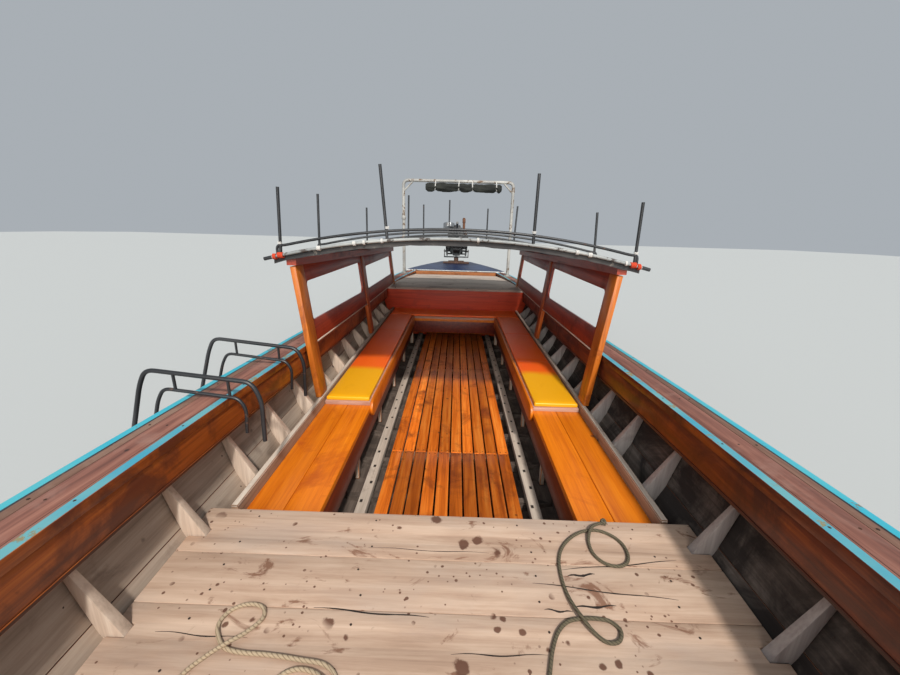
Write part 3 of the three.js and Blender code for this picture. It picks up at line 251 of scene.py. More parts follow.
class Shade:
    """A node material put together in code, on object coordinates."""

    def __init__(self, name):
        self.material = bpy.data.materials.new(name)
        self.material.use_nodes = True
        self.tree = self.material.node_tree
        self.tree.nodes.clear()
        self.output = self.tree.nodes.new("ShaderNodeOutputMaterial")
        self.shader = self.tree.nodes.new("ShaderNodeBsdfPrincipled")
        self.tree.links.new(self.shader.outputs[0], self.output.inputs[0])
        self.place = self.tree.nodes.new("ShaderNodeTexCoord").outputs["Object"]
        self.geometry = self.tree.nodes.new("ShaderNodeNewGeometry")

    def put(self, socket, value):
        if isinstance(value, bpy.types.NodeSocket):
            self.tree.links.new(value, socket)
        elif socket.type == "RGBA" and len(value) == 3:
            socket.default_value = (*value, 1)
        else:
            socket.default_value = value

    def math(self, operation, a, b=0.0, clamp=False):
        node = self.tree.nodes.new("ShaderNodeMath")
        node.operation = operation
        node.use_clamp = clamp
        self.put(node.inputs[0], a)
        self.put(node.inputs[1], b)
        return node.outputs[0]

    def line(self, value, factor, shift, clamp=False):
        """A value times a factor, plus a number or another value."""
        return self.math("ADD", self.math("MULTIPLY", value, factor), shift, clamp)

    def even(self, value):
        """The same value in all three places of a vector or colour."""
        node = self.tree.nodes.new("ShaderNodeCombineXYZ")
        for socket in node.inputs:
            self.put(socket, value)
        return node.outputs[0]

    def scaled(self, scale, offset=None):
        """The object's coordinates, stretched, and moved by a value for each island."""
        node = self.tree.nodes.new("ShaderNodeMapping")
        self.put(node.inputs["Vector"], self.place)
        node.inputs["Scale"].default_value = scale
        if offset is not None:
            shift = self.even(self.math("MULTIPLY", offset, ISLAND_SHIFT))
            self.put(node.inputs["Location"], shift)
        return node.outputs[0]

    @property
    def island(self):
        return self.geometry.outputs["Random Per Island"]

    def noise(self, place, scale=1.0, detail=5.0, rough=0.6, warp=0.0):
        node = self.tree.nodes.new("ShaderNodeTexNoise")
        self.put(node.inputs["Vector"], place)
        node.inputs["Scale"].default_value = scale
        node.inputs["Detail"].default_value = detail
        node.inputs["Roughness"].default_value = rough
        node.inputs["Distortion"].default_value = warp
        return node.outputs["Fac"]

    def cells(self, place, scale=1.0):
        node = self.tree.nodes.new("ShaderNodeTexVoronoi")
        self.put(node.inputs["Vector"], place)
        node.inputs["Scale"].default_value = scale
        return node.outputs["Distance"]

    def steps(self, value, *stops):
        """A colour ramp, from stops of position and colour or grey level."""
        node = self.tree.nodes.new("ShaderNodeValToRGB")
        self.put(node.inputs[0], value)
        elements = node.color_ramp.elements
        while len(elements) < len(stops):
            elements.new(0.5)
        for element, (position, colour) in zip(elements, stops):
            if not hasattr(colour, "__len__"):
                colour = (colour, colour, colour)
            element.position = position
            element.color = (*colour, 1)
        return node.outputs[0]

    def mix(self, fac, a, b, mode="MIX"):
        node = self.tree.nodes.new("ShaderNodeMix")
        node.data_type = "RGBA"
        node.blend_type = mode
        self.put(node.inputs[0], fac)
        self.put(node.inputs[6], a)
        self.put(node.inputs[7], b)
        return node.outputs[2]

    def part(self, name):
        """One of the coordinates."""
        node = self.tree.nodes.new("ShaderNodeSeparateXYZ")
        self.put(node.inputs[0], self.place)
        return node.outputs[name]

    def bump(self, height, strength=0.3, distance=0.002):
        node = self.tree.nodes.new("ShaderNodeBump")
        self.put(node.inputs["Height"], height)
        node.inputs["Strength"].default_value = strength
        node.inputs["Distance"].default_value = distance
        self.put(self.shader.inputs["Normal"], node.outputs[0])

    def finish(self, colour, roughness=0.6, **sockets):
        self.put(self.shader.inputs["Base Color"], colour)
        self.put(self.shader.inputs["Roughness"], roughness)
        for name, value in sockets.items():
            self.shader.inputs[name.replace("_", " ")].default_value = value
        return self.material


def wood(name, dark, middle, light, grain="y", gloss=0.75, coat=0.0, spread=0.25, stain=None,
         stain_amount=0.35, stain_scale=2.2, speck=None, speck_scale=9.0, bump=0.25):
    """Planks with grain along one axis, a tone for each plank, and stains or specks."""
    s = Shade(name)
    island = s.island
    along = s.scaled(GRAIN[grain], island)
    streak = s.noise(along, 1.0, 8.0, 0.62, 0.35)
    fine = s.noise(along, 5.5, 3.0, 0.5)
    body = s.line(streak, 0.75, s.math("MULTIPLY", fine, 0.25))
    colour = s.steps(body, (0.30, dark), (0.5, middle), (0.68, light))
    tone = s.even(s.line(island, spread, 1 - spread / 2))
    colour = s.mix(1.0, colour, tone, "MULTIPLY")
    roughness = s.line(body, 0.25, gloss - 0.12, clamp=True)
    if stain is not None:
        patch = s.noise(s.scaled((1, 1, 1), island), stain_scale, 7.0, 0.68, 0.6)
        low = 0.62 - 0.22 * stain_amount
        amount = s.steps(patch, (low, 0.0), (low + 0.16, 1.0))
        colour = s.mix(s.math("MULTIPLY", amount, 0.85), colour, stain)
        roughness = s.line(amount, 0.1, roughness, clamp=True)
    if speck is not None:
        wobble = s.noise(s.place, 14.0, 3.0, 0.6)
        near = s.cells(s.scaled((1, 1, 1), island), speck_scale)
        dots = s.steps(s.line(wobble, 0.16, near), (0.155, 1.0), (0.20, 0.0))
        sparse = s.steps(s.noise(s.place, 3.1, 2.0, 0.5), (0.5, 0.0), (0.56, 1.0))
        colour = s.mix(s.math("MULTIPLY", s.math("MULTIPLY", dots, sparse), 0.9), colour, speck)
    s.bump(body, bump, 0.0025)
    sockets = {"Coat_Weight": coat, "Coat_Roughness": 0.12} if coat else {}
    return s.finish(colour, roughness, **sockets)


def paint(name, colour, worn, base, amount=0.3, scale=9.0, roughness=0.45):
    """Paint that is chipped to what is under it, with a second tone where it has faded."""
    s = Shade(name)
    faded = s.noise(s.place, 3.0, 5.0, 0.6)
    tone = s.mix(s.steps(faded, (0.42, 0.0), (0.62, 1.0)), colour, worn)
    chips = s.noise(s.place, scale, 9.0, 0.72, 0.4)
    low = 0.68 - 0.25 * amount
    bare = s.steps(chips, (low, 0.0), (low + 0.035, 1.0))
    tone = s.mix(bare, tone, base)
    s.bump(s.math("SUBTRACT", 1.0, bare), 0.35, 0.0012)
    return s.finish(tone, s.line(bare, 0.3, roughness, clamp=True))


def metal(name, colour, dirt, roughness, metallic, amount):
    """Bare or painted metal with oily dirt and fine scratches."""
    s = Shade(name)
    grime = s.noise(s.place, 14.0, 8.0, 0.7, 0.5)
    low = 0.66 - 0.25 * amount
    fouled = s.steps(grime, (low, 0.0), (low + 0.14, 1.0))
    fine = s.noise(s.scaled((60, 60, 60)), 1.0, 4.0, 0.6)
    tone = s.mix(fouled, colour, dirt)
    s.bump(s.line(grime, 0.6, fine), 0.18, 0.001)
    return s.finish(tone, s.line(fouled, 0.3, roughness, clamp=True), Metallic=metallic)


def deck_wood(name):
    """Bleached foredeck boards with dark spots, long stains and open grain."""
    s = Shade(name)
    island = s.island
    along = s.scaled((1.5, 30.0, 30.0), island)
    streak = s.noise(along, 1.0, 9.0, 0.66, 0.4)
    broad = s.noise(s.scaled((0.9, 3.0, 3.0), island), 2.0, 5.0, 0.6, 0.8)
    body = s.line(streak, 0.62, s.math("MULTIPLY", broad, 0.38))
    colour = s.steps(body, (0.26, (0.27, 0.165, 0.11)), (0.44, (0.49, 0.33, 0.235)),
                     (0.58, (0.62, 0.45, 0.335)), (0.76, (0.71, 0.53, 0.40)))
    grey = s.noise(s.scaled((0.5, 1.3, 1)), 2.4, 6.0, 0.62)
    colour = s.mix(s.steps(grey, (0.50, 0.0), (0.66, 0.4)), colour, (0.42, 0.34, 0.29))
    blot = s.noise(s.scaled((1.5, 2.6, 1), island), 3.4, 8.0, 0.66, 1.0)
    colour = s.mix(s.steps(blot, (0.60, 0.0), (0.66, 0.85)), colour, (0.20, 0.085, 0.045))
    wobble = s.noise(s.place, 26.0, 4.0, 0.6)
    # Columns: spots to a metre, size of a spot, level from which a region has them
    for scale, size, where in (
            (6.0, 0.20, 0.53), (12.0, 0.20, 0.53), (22.0, 0.21, 0.53), (38.0, 0.22, 0.54)):
        near = s.line(wobble, 0.26, s.cells(s.place, scale))
        dots = s.steps(near, (size + 0.035, 1.0), (size + 0.075, 0.0))
        patch = s.noise(s.place, 2.0 + scale / 9, 2.0, 0.5)
        region = s.steps(patch, (where, 0.0), (where + 0.04, 1.0))
        amount = s.math("MULTIPLY", s.math("MULTIPLY", dots, region), 0.92)
        colour = s.mix(amount, colour, (0.12, 0.045, 0.024))
    s.bump(body, 0.35, 0.003)
    return s.finish(colour, 0.82)


def hull_outside(name):
    """Varnished topsides, with a boot top and bottom paint below a line at the water."""
    s = Shade(name)
    streak = s.noise(s.scaled(GRAIN["y"], s.island), 1.0, 8.0, 0.6, 0.4)
    colour = s.steps(streak, (0.30, (0.075, 0.028, 0.014)), (0.5, (0.17, 0.062, 0.026)),
                     (0.7, (0.27, 0.11, 0.045)))
    salt = s.noise(s.scaled((2.0, 2.0, 5.0)), 2.2, 7.0, 0.66)
    colour = s.mix(s.steps(salt, (0.52, 0.0), (0.70, 0.45)), colour, (0.36, 0.30, 0.25))
    height = s.part("Z")
    level = s.line(height, 4.0, 0.5)
    boot = s.steps(level, (0.0, 1.0), (0.80, 1.0), (0.805, 0.0))
    colour = s.mix(boot, colour, (0.055, 0.10, 0.16))
    line = s.steps(level, (0.80, 0.0), (0.802, 1.0), (0.90, 1.0), (0.902, 0.0))
    chips = s.steps(s.noise(s.place, 11.0, 8.0, 0.7), (0.55, 1.0), (0.58, 0.2))
    colour = s.mix(s.math("MULTIPLY", line, chips), colour, (0.62, 0.60, 0.54))
    slime = s.steps(s.line(height, 6.0, 0.5), (0.5, 1.0), (0.86, 0.0))
    weed = s.steps(s.noise(s.place, 7.0, 8.0, 0.7), (0.42, 0.0), (0.60, 0.75))
    colour = s.mix(s.math("MULTIPLY", slime, weed), colour, (0.10, 0.105, 0.055))
    s.bump(s.math("ADD", streak, chips), 0.2, 0.002)
    return s.finish(colour, 0.5, Coat_Weight=0.25, Coat_Roughness=0.25)


def vinyl(name):
    """Satin vinyl, with painted light: yellow where the sun falls in front and orange-red in the
    roof's shade.
    """
    s = Shade(name)
    broad = s.noise(s.scaled((1.4, 0.8, 1.4)), 1.6, 4.0, 0.5)
    # Painted light and shade: orange-red under the roof, turning yellow ahead of the roof's shadow
    # edge
    roof_shade_red = s.steps(broad, (0.35, (0.93, 0.105, 0.005)), (0.65, (0.95, 0.15, 0.008)))
    painted_sun_mask = s.steps(s.line(broad, 0.16, s.part("Y")), (0.50, 1.0), (0.60, 0.0))
    colour = s.mix(painted_sun_mask, roof_shade_red, (0.90, 0.42, 0.006))
    rub = s.noise(s.scaled((3, 1.2, 3)), 3.0, 7.0, 0.65)
    colour = s.mix(s.steps(rub, (0.60, 0.0), (0.78, 0.25)), colour, (0.55, 0.16, 0.01))
    s.bump(s.line(s.cells(s.place, 420.0), 0.5, rub), 0.16, 0.0008)
    return s.finish(colour, s.line(rub, 0.2, 0.3), Coat_Weight=0.12, Coat_Roughness=0.3)


def coated_cloth(name, colour, light):
    """Coated cloth, with threads crossing at a small scale and lighter folds."""
    s = Shade(name)
    close = 900.0
    threads = s.math("MULTIPLY", s.math("SINE", s.math("MULTIPLY", s.part("X"), close)),
                     s.math("SINE", s.math("MULTIPLY", s.part("Y"), close)))
    folds = s.noise(s.place, 6.0, 6.0, 0.6)
    s.bump(s.line(threads, 0.4, folds), 0.2, 0.001)
    return s.finish(s.mix(s.steps(folds, (0.35, 0.0), (0.68, 1.0)), colour, light), 0.9)


def laid_rope(name, colour, dark, pitch=70.0):
    """Twisted fibre, with pitch dark grooves to a metre that wind round it, and fluff."""
    s = Shade(name)
    twist = s.math("ADD", s.math("ADD", s.part("X"), s.part("Y")), s.part("Z"))
    wind = s.math("SINE", s.math("MULTIPLY", twist, pitch * 6.28))
    groove = s.steps(s.line(wind, 0.5, 0.5), (0.0, 0.0), (0.35, 1.0))
    fluff = s.noise(s.scaled((90, 90, 90)), 1.0, 4.0, 0.6)
    tone = s.mix(groove, dark, colour)
    tone = s.mix(s.steps(fluff, (0.45, 0.0), (0.7, 0.6)), tone, colour)
    s.bump(s.line(fluff, 0.5, groove), 0.5, 0.0015)
    return s.finish(tone, 0.92)


MATERIALS = {
    "deck": deck_wood("deck_boards"),
    "rib": wood("rib_timber", (0.38, 0.29, 0.22), (0.60, 0.47, 0.37), (0.72, 0.60, 0.49), "z",
                0.85, spread=0.2, stain=(0.22, 0.16, 0.13), stain_amount=0.1, bump=0.15),
    # Painted shade: a darker, greyer copy of the rib timber for the port side, which stands in shade
    "rib_port": wood("rib_timber_port_shaded", (0.22, 0.19, 0.18), (0.37, 0.33, 0.31),
                     (0.47, 0.43, 0.40), "z", 0.85, spread=0.2, stain=(0.13, 0.10, 0.09),
                     stain_amount=0.15, bump=0.15),
    "inner": wood("inner_planks", (0.21, 0.155, 0.115), (0.37, 0.285, 0.22),
                  (0.47, 0.38, 0.30), "y", 0.85, spread=0.25, stain=(0.15, 0.10, 0.075),
                  stain_amount=0.45, stain_scale=2.6, speck=(0.03, 0.018, 0.014)),
    # Painted shade: a much darker copy of the inner planks for the port side, which stands in shade,
    # over the planks' own stains and pale specks
    "inner_shaded_port": wood("inner_planks_port_shaded", (0.035, 0.027, 0.022), (0.10, 0.08, 0.066),
                       (0.20, 0.165, 0.14), "y", 0.85, spread=0.3, stain=(0.014, 0.010, 0.009),
                       stain_amount=1.0, stain_scale=3.4, speck=(0.28, 0.24, 0.20)),
    "bilge": wood("bilge_planks", (0.05, 0.036, 0.028), (0.115, 0.085, 0.068),
                  (0.19, 0.15, 0.12), "y", 0.7, stain=(0.02, 0.014, 0.011), stain_amount=0.6),
    "stringer": wood("stringer_boards", (0.30, 0.24, 0.19), (0.46, 0.38, 0.31),
                     (0.56, 0.48, 0.40), "y", 0.8, stain=(0.12, 0.08, 0.06), stain_amount=0.3),
    "wale": wood("wale_varnish", (0.11, 0.020, 0.005), (0.31, 0.070, 0.010),
                 (0.47, 0.145, 0.022), "y", 0.42, coat=0.15, spread=0.15,
                 stain=(0.085, 0.017, 0.007), stain_amount=0.75, stain_scale=4.2),
    # Painted shade: a darker copy of the wale varnish for the port side, which stands in shade
    "wale_port": wood("wale_varnish_port_shaded", (0.045, 0.008, 0.004), (0.16, 0.028, 0.007),
                      (0.34, 0.085, 0.014), "y", 0.42, coat=0.15, spread=0.15,
                      stain=(0.035, 0.008, 0.005), stain_amount=0.9, stain_scale=2.6),
    # Painted shade: the near-black bead under the wale boards stands in for the shadowed gap beneath
    # them
    "wale_shadow_line": wood("wale_shadow_line", (0.02, 0.008, 0.005), (0.05, 0.016, 0.009),
                      (0.10, 0.03, 0.015), "y", 0.5),
    "cap": wood("cap_boards", (0.085, 0.030, 0.022), (0.20, 0.078, 0.055),
                (0.33, 0.15, 0.105), "y", 0.66, spread=0.25, stain=(0.30, 0.165, 0.13),
                stain_amount=0.45, stain_scale=2.4, speck=(0.03, 0.012, 0.010)),
    "cap_dark": wood("cap_outer_board", (0.075, 0.036, 0.024), (0.16, 0.082, 0.055),
                     (0.25, 0.14, 0.10), "y", 0.66, stain=(0.27, 0.175, 0.13),
                     stain_amount=0.3),
    "turquoise": paint("turquoise_paint", (0.050, 0.32, 0.44), (0.13, 0.38, 0.42),
                       (0.26, 0.22, 0.11), 0.5, 9.0, 0.5),
    "rub": paint("rub_strake_paint", (0.030, 0.40, 0.53), (0.070, 0.44, 0.52),
                 (0.18, 0.15, 0.10), 0.3, 10.0, 0.5),
    "tar": paint("black_line", (0.012, 0.012, 0.014), (0.03, 0.03, 0.035), (0.10, 0.06, 0.04),
                 0.3),
    "bench": wood("bench_varnish", (0.46, 0.085, 0.003), (0.66, 0.165, 0.004),
                  (0.76, 0.215, 0.007), "y", 0.40, coat=0.12, spread=0.14,
                  stain=(0.44, 0.080, 0.004), stain_amount=0.35, stain_scale=3.0, bump=0.10,
                  speck=(0.20, 0.05, 0.01), speck_scale=5.0),
    "bench_red": wood("bench_front_varnish", (0.05, 0.007, 0.004), (0.13, 0.016, 0.007),
                      (0.22, 0.034, 0.012), "y", 0.45, coat=0.1, spread=0.1, bump=0.15),
    "slat": wood("floor_varnish", (0.24, 0.040, 0.004), (0.62, 0.14, 0.011),
                 (0.82, 0.27, 0.040), "y", 0.40, coat=0.25, spread=0.7,
                 stain=(0.16, 0.030, 0.008), stain_amount=0.45, stain_scale=3.4,
                 speck=(0.05, 0.016, 0.008)),
    "coaming": wood("coaming_boards", (0.17, 0.095, 0.058), (0.32, 0.195, 0.125),
                    (0.44, 0.30, 0.205), "y", 0.7, stain=(0.14, 0.07, 0.04), stain_amount=0.35,
                    speck=(0.05, 0.025, 0.015)),
    "pale_edge": wood("bare_edge", (0.42, 0.34, 0.27), (0.62, 0.52, 0.43), (0.75, 0.66, 0.56),
                      "y", 0.85, stain=(0.20, 0.14, 0.10), stain_amount=0.15),
    "post": wood("post_varnish", (0.27, 0.062, 0.007), (0.50, 0.135, 0.012),
                 (0.63, 0.20, 0.026), "z", 0.42, coat=0.15, spread=0.12,
                 stain=(0.20, 0.040, 0.008), stain_amount=0.45, stain_scale=4.0),
    "red_post": wood("red_post_varnish", (0.19, 0.035, 0.006), (0.42, 0.085, 0.012),
                     (0.56, 0.14, 0.022), "z", 0.42, coat=0.12, spread=0.12,
                     stain=(0.13, 0.022, 0.006), stain_amount=0.4),
    "frame": wood("window_frame_varnish", (0.13, 0.014, 0.006), (0.30, 0.034, 0.011),
                  (0.43, 0.068, 0.020), "y", 0.45, coat=0.1, spread=0.1,
                  stain=(0.09, 0.012, 0.006), stain_amount=0.35),
    "aft": wood("aft_deck_boards", (0.30, 0.24, 0.195), (0.48, 0.40, 0.335),
                (0.60, 0.52, 0.45), "x", 0.85, spread=0.3, stain=(0.17, 0.12, 0.09),
                stain_amount=0.3, speck=(0.06, 0.04, 0.03)),
    "bow": wood("bow_deck_boards", (0.24, 0.175, 0.135), (0.42, 0.325, 0.265),
                (0.54, 0.44, 0.37), "x", 0.85, spread=0.25, stain=(0.14, 0.09, 0.065),
                stain_amount=0.3, speck=(0.05, 0.03, 0.02)),
    "bulkhead": wood("bulkhead_varnish", (0.32, 0.026, 0.008), (0.56, 0.050, 0.013),
                     (0.66, 0.085, 0.024), "x", 0.5, spread=0.18,
                     stain=(0.22, 0.020, 0.008), stain_amount=0.3),
    "riser": wood("riser_varnish", (0.20, 0.055, 0.014), (0.36, 0.12, 0.030),
                  (0.46, 0.18, 0.06), "x", 0.45, coat=0.1, stain=(0.14, 0.05, 0.02),
                  stain_amount=0.3),
    "outside": hull_outside("hull_topsides"),
    "stem": wood("stem_varnish", (0.06, 0.022, 0.012), (0.15, 0.055, 0.026),
                 (0.25, 0.10, 0.045), "z", 0.45, coat=0.3, stain=(0.30, 0.20, 0.14),
                 stain_amount=0.2),
    "vinyl": vinyl("pad_vinyl"),
    "ply": wood("plywood_edge", (0.34, 0.17, 0.115), (0.50, 0.29, 0.215), (0.62, 0.42, 0.33),
                "x", 0.75, spread=0.1, stain=(0.28, 0.10, 0.06), stain_amount=0.4),
    "roof": paint("roof_paint", (0.42, 0.46, 0.45), (0.58, 0.60, 0.57), (0.22, 0.20, 0.18), 0.5,
                  5.0, 0.6),
    "under_roof": paint("roof_underside", (0.050, 0.042, 0.038), (0.09, 0.075, 0.065),
                        (0.16, 0.07, 0.04), 0.3, 6.0, 0.75),
    "hem": paint("roof_hem", (0.018, 0.017, 0.018), (0.05, 0.045, 0.042), (0.16, 0.14, 0.12),
                 0.35, 12.0, 0.7),
    "black_pipe": paint("black_pipe_paint", (0.014, 0.015, 0.017), (0.030, 0.031, 0.034),
                        (0.11, 0.05, 0.03), 0.2, 18.0, 0.38),
    "pale_pipe": paint("pale_pipe_paint", (0.22, 0.235, 0.235), (0.36, 0.37, 0.355),
                       (0.07, 0.06, 0.055), 0.50, 16.0, 0.5),
    "arch": paint("arch_paint", (0.26, 0.255, 0.24), (0.40, 0.39, 0.36), (0.13, 0.085, 0.055),
                  0.55, 12.0, 0.5),
    "canvas": coated_cloth("awning_canvas", (0.006, 0.007, 0.006), (0.022, 0.024, 0.019)),
    "navy": paint("navy_paint", (0.010, 0.022, 0.07), (0.02, 0.04, 0.11), (0.14, 0.09, 0.06),
                  0.25, 10.0, 0.4),
    "white_line": paint("white_line", (0.70, 0.71, 0.70), (0.55, 0.56, 0.54),
                        (0.14, 0.10, 0.08), 0.3, 10.0, 0.5),
    "engine": metal("engine_paint", (0.020, 0.021, 0.023), (0.055, 0.040, 0.028), 0.42, 0.45, 0.5),
    "steel": metal("worn_steel", (0.34, 0.35, 0.36), (0.13, 0.10, 0.075), 0.38, 0.9, 0.45),
    "rust": metal("rusted_iron", (0.12, 0.050, 0.026), (0.21, 0.095, 0.045), 0.75, 0.35, 0.7),
    "bronze": metal("worn_bronze", (0.50, 0.33, 0.11), (0.16, 0.12, 0.055), 0.32, 0.95, 0.4),
    "crack": metal("crack_shadow", (0.020, 0.013, 0.010), (0.05, 0.03, 0.02), 0.9, 0.0, 0.4),
    "nail": metal("nail_heads", (0.055, 0.035, 0.028), (0.10, 0.045, 0.025), 0.7, 0.5, 0.6),
    "rope_starboard": laid_rope("beige_rope", (0.46, 0.36, 0.24), (0.24, 0.17, 0.11)),
    "rope_port": laid_rope("grey_rope", (0.125, 0.105, 0.065), (0.045, 0.036, 0.024)),
    "white_rope": laid_rope("white_rope", (0.72, 0.71, 0.68), (0.38, 0.36, 0.33), 110.0),
    "red_rope": laid_rope("red_rope", (0.60, 0.065, 0.020), (0.28, 0.020, 0.010), 90.0),
}


# Meshes


def rect(x0, x1, z0, z1):
    return [(x0, z0), (x1, z0), (x1, z1), (x0, z1)]


def circle(count, extra=0):
    """Angles evenly round a circle; one extra closes a path."""
    return [2 * math.pi * k / count for k in range(count + extra)]


def placed(name, data):
    """A new object in the scene."""
    thing = bpy.data.objects.new(name, data)
    bpy.context.scene.collection.objects.link(thing)
    return thing


class Build:
    """Vertices and faces of one piece, gathered from lofts, boxes, tubes and discs."""

    def __init__(self):
        self.points = []
        self.faces = []
        self.slots = []

    def add(self, points, faces, slot=0):
        start = len(self.points)
        self.points += [tuple(p) for p in points]
        self.faces += [tuple(start + i for i in face) for face in faces]
        self.slots += slot if isinstance(slot, list) else [slot] * len(faces)

    def rows(self, rows, slot=0):
        """A skin over rows of points, capped at both ends; slot may list the outline's sides."""
        count = len(rows[0])
        if isinstance(slot, list):
            slot = slot * (len(rows) - 1) + [slot[0]] * 2
        points = [p for row in rows for p in row]
        faces = []
        for r in range(len(rows) - 1):
            for i in range(count):
                a, b = r * count + i, r * count + (i + 1) % count
                faces.append((a, b, b + count, a + count))
        faces.append(tuple(range(count)))
        faces.append(tuple(range(len(points) - count, len(points))))
        self.add(points, faces, slot)

    def loft(self, places, outline, sign=1, slot=0):
        """A skin over an outline of x and z, which is a function of y."""
        self.rows([[(sign * x, y, z) for x, z in outline(y)] for y in places], slot)

    def box(self, x0, x1, y0, y1, z0, z1, slot=0):
        self.loft((y0, y1), lambda y: rect(x0, x1, z0, z1), 1, slot)

    def side_box(self, sign, x0, x1, *rest):
        """A box that is given for the port side, on either side."""
        self.box(*sorted((sign * x0, sign * x1)), *rest)

    def tube(self, path, radius, sides=8, slot=0):
        """A round bar along a path."""
        path = [Vector(p) for p in path]
        side = None
        rows = []
        for i, here in enumerate(path):
            way = (path[min(i + 1, len(path) - 1)] - path[max(i - 1, 0)]).normalized()
            if side is None:
                side = way.orthogonal().normalized()
            side = (side - way * side.dot(way)).normalized()
            up = way.cross(side)
            rows.append([here + radius * (math.cos(a) * side + math.sin(a) * up)
                         for a in circle(sides)])
        self.rows(rows, slot)

    def turned(self, profile, origin, axis, sides=16, slot=0):
        """A round body: profile points are radius and distance along the axis."""
        axis = Vector(axis).normalized()
        side = axis.orthogonal().normalized()
        up = axis.cross(side)
        origin = Vector(origin)
        rows = []
        for radius, along in profile:
            r = max(radius, 1e-4)
            rows.append([origin + axis * along + r * (math.cos(a) * side + math.sin(a) * up)
                         for a in circle(sides)])
        self.rows(rows, slot)

    def done(self, name, materials, replaces=(), bevel=0.0, steps=2, angle=35):
        mesh = bpy.data.meshes.new(name)
        mesh.from_pydata(self.points, [], self.faces)
        for key in [materials] if isinstance(materials, str) else materials:
            mesh.materials.append(MATERIALS[key])
        mesh.polygons.foreach_set("material_index", self.slots)
        return settle(name, mesh, "hull", replaces, bevel, steps, angle)


def settle(name, mesh, body, replaces, bevel, steps=2, angle=35):
    """Turns a mesh into a piece: faces outward, edges bevelled, riding on its body."""
    turn = math.radians(angle)
    tidy = bmesh.new()
    tidy.from_mesh(mesh)
    bmesh.ops.recalc_face_normals(tidy, faces=tidy.faces)
    if bevel:
        sharp = [e for e in tidy.edges if e.is_manifold and e.calc_face_angle(0) > turn]
        bmesh.ops.bevel(tidy, geom=sharp, offset=bevel, segments=steps, profile=0.5,
                        affect="EDGES", clamp_overlap=True)
    tidy.to_mesh(mesh)
    tidy.free()
    mesh.shade_smooth()
    mesh.set_sharp_from_angle(angle=turn)
    piece = placed(name, mesh)
    if replaces:
        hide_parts(*replaces)
    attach(piece, body)
    return piece


def dressed(node, material, bevel):
    """A CAD node's own shape with its edges softened, in place of the node."""
    mesh = nodes[node].data.copy()
    mesh.materials.clear()
    mesh.materials.append(MATERIALS[material])
    tidy = bmesh.new()
    tidy.from_mesh(mesh)
    bmesh.ops.remove_doubles(tidy, verts=tidy.verts, dist=1e-5)
    bmesh.ops.dissolve_limit(tidy, angle_limit=math.radians(1), verts=tidy.verts, edges=tidy.edges)
    tidy.to_mesh(mesh)
    tidy.free()
    settle(f"{node}_finished", mesh, nodes[node]["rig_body"], (node,), bevel)


def repaint(node, material):
    """A better material on a CAD node that keeps its shape."""
    for place in nodes[node].material_slots:
        place.material = MATERIALS[material]


# Hull shape, as in the frame: a smooth curve through the table


def hermite(t):
    """Weights of a curve's start, of its way there, of its end and of its way there."""
    return 2 * t**3 - 3 * t**2 + 1, t**3 - 2 * t**2 + t, 3 * t**2 - 2 * t**3, t**3 - t**2


def table_at(y):
    i = next((k for k, row in enumerate(HULL) if row[0] >= y), len(HULL) - 1)
    i = min(max(i, 1), len(HULL) - 1)
    start, end = HULL[i - 1], HULL[i]
    before = HULL[i - 2] if i > 1 else start
    after = HULL[i + 1] if i + 1 < len(HULL) else end
    span = end[0] - start[0]
    a, b, c, d = hermite((y - start[0]) / span)
    values = []
    for k in range(len(start)):
        leaving = (end[k] - before[k]) / (end[0] - before[0]) * span
        arriving = (after[k] - start[k]) / (after[0] - start[0]) * span
        values.append(a * start[k] + b * leaving + c * end[k] + d * arriving)
    return values


def skin(y, s, depth=0.0):
    """A point of the hull's side, s from 0 at the bilge to 1 under the cap, inside the skin."""
    _, sheer_x, sheer_z, side_x, side_z, bilge_x, bilge_z = table_at(y)
    top = sheer_z - CAP_THICKNESS - SEAM
    low, middle, high = 2 * (s - 0.5) * (s - 1), 4 * s * (1 - s), 2 * s * (s - 0.5)
    x = low * bilge_x + middle * side_x + high * sheer_x
    z = low * bilge_z + middle * side_z + high * top
    way = Vector((
        (4 * s - 3) * bilge_x + (4 - 8 * s) * side_x + (4 * s - 1) * sheer_x,
        (4 * s - 3) * bilge_z + (4 - 8 * s) * side_z + (4 * s - 1) * top)).normalized()
    return x - way.y * depth, z + way.x * depth


def side_at(y, z, depth):
    """How far up the side, from 0 to 1, the skin reaches a height."""
    low, high = 0.0, 1.0
    for _ in range(24):
        middle = (low + high) / 2
        if skin(y, middle, depth)[1] < z:
            low = middle
        else:
            high = middle
    return low


def room_half(y, z, depth=PLANK):
    """Half width inside the planks at a height."""
    return skin(y, side_at(y, z, depth), depth)[0]


def rib_foot(y):
    """Half width between the knees of the ribs, which stand behind the coaming."""
    return min(COAMING_OUTER + SEAM, room_half(y, KNEE) - 0.02)


def sheer(y):
    return table_at(y)[2]


def cap_outer(y):
    return table_at(y)[1] + CAP_OVERHANG


def cap_inner(y):
    return max(cap_outer(y) - CAP_WIDTH, SEAM / 2)


def divided(start, end, count):
    return [start + (end - start) * k / count for k in range(count + 1)]


def stations(start, end, step=0.16):
    return divided(start, end, max(1, round((end - start) / step)))


RIBS = [RIB_FIRST + RIB_PITCH * k for k in range(RIB_COUNT)]
STRAKES = 5
# Columns: radius, distance out of the board
NAIL_HEAD = [(0.0, -0.002), (0.0042, -0.002), (0.0040, 0.0006), (0.0, 0.0008)]


def nail(build, at, way=(0, 0, 1)):
    build.turned(NAIL_HEAD, at, way, 8)


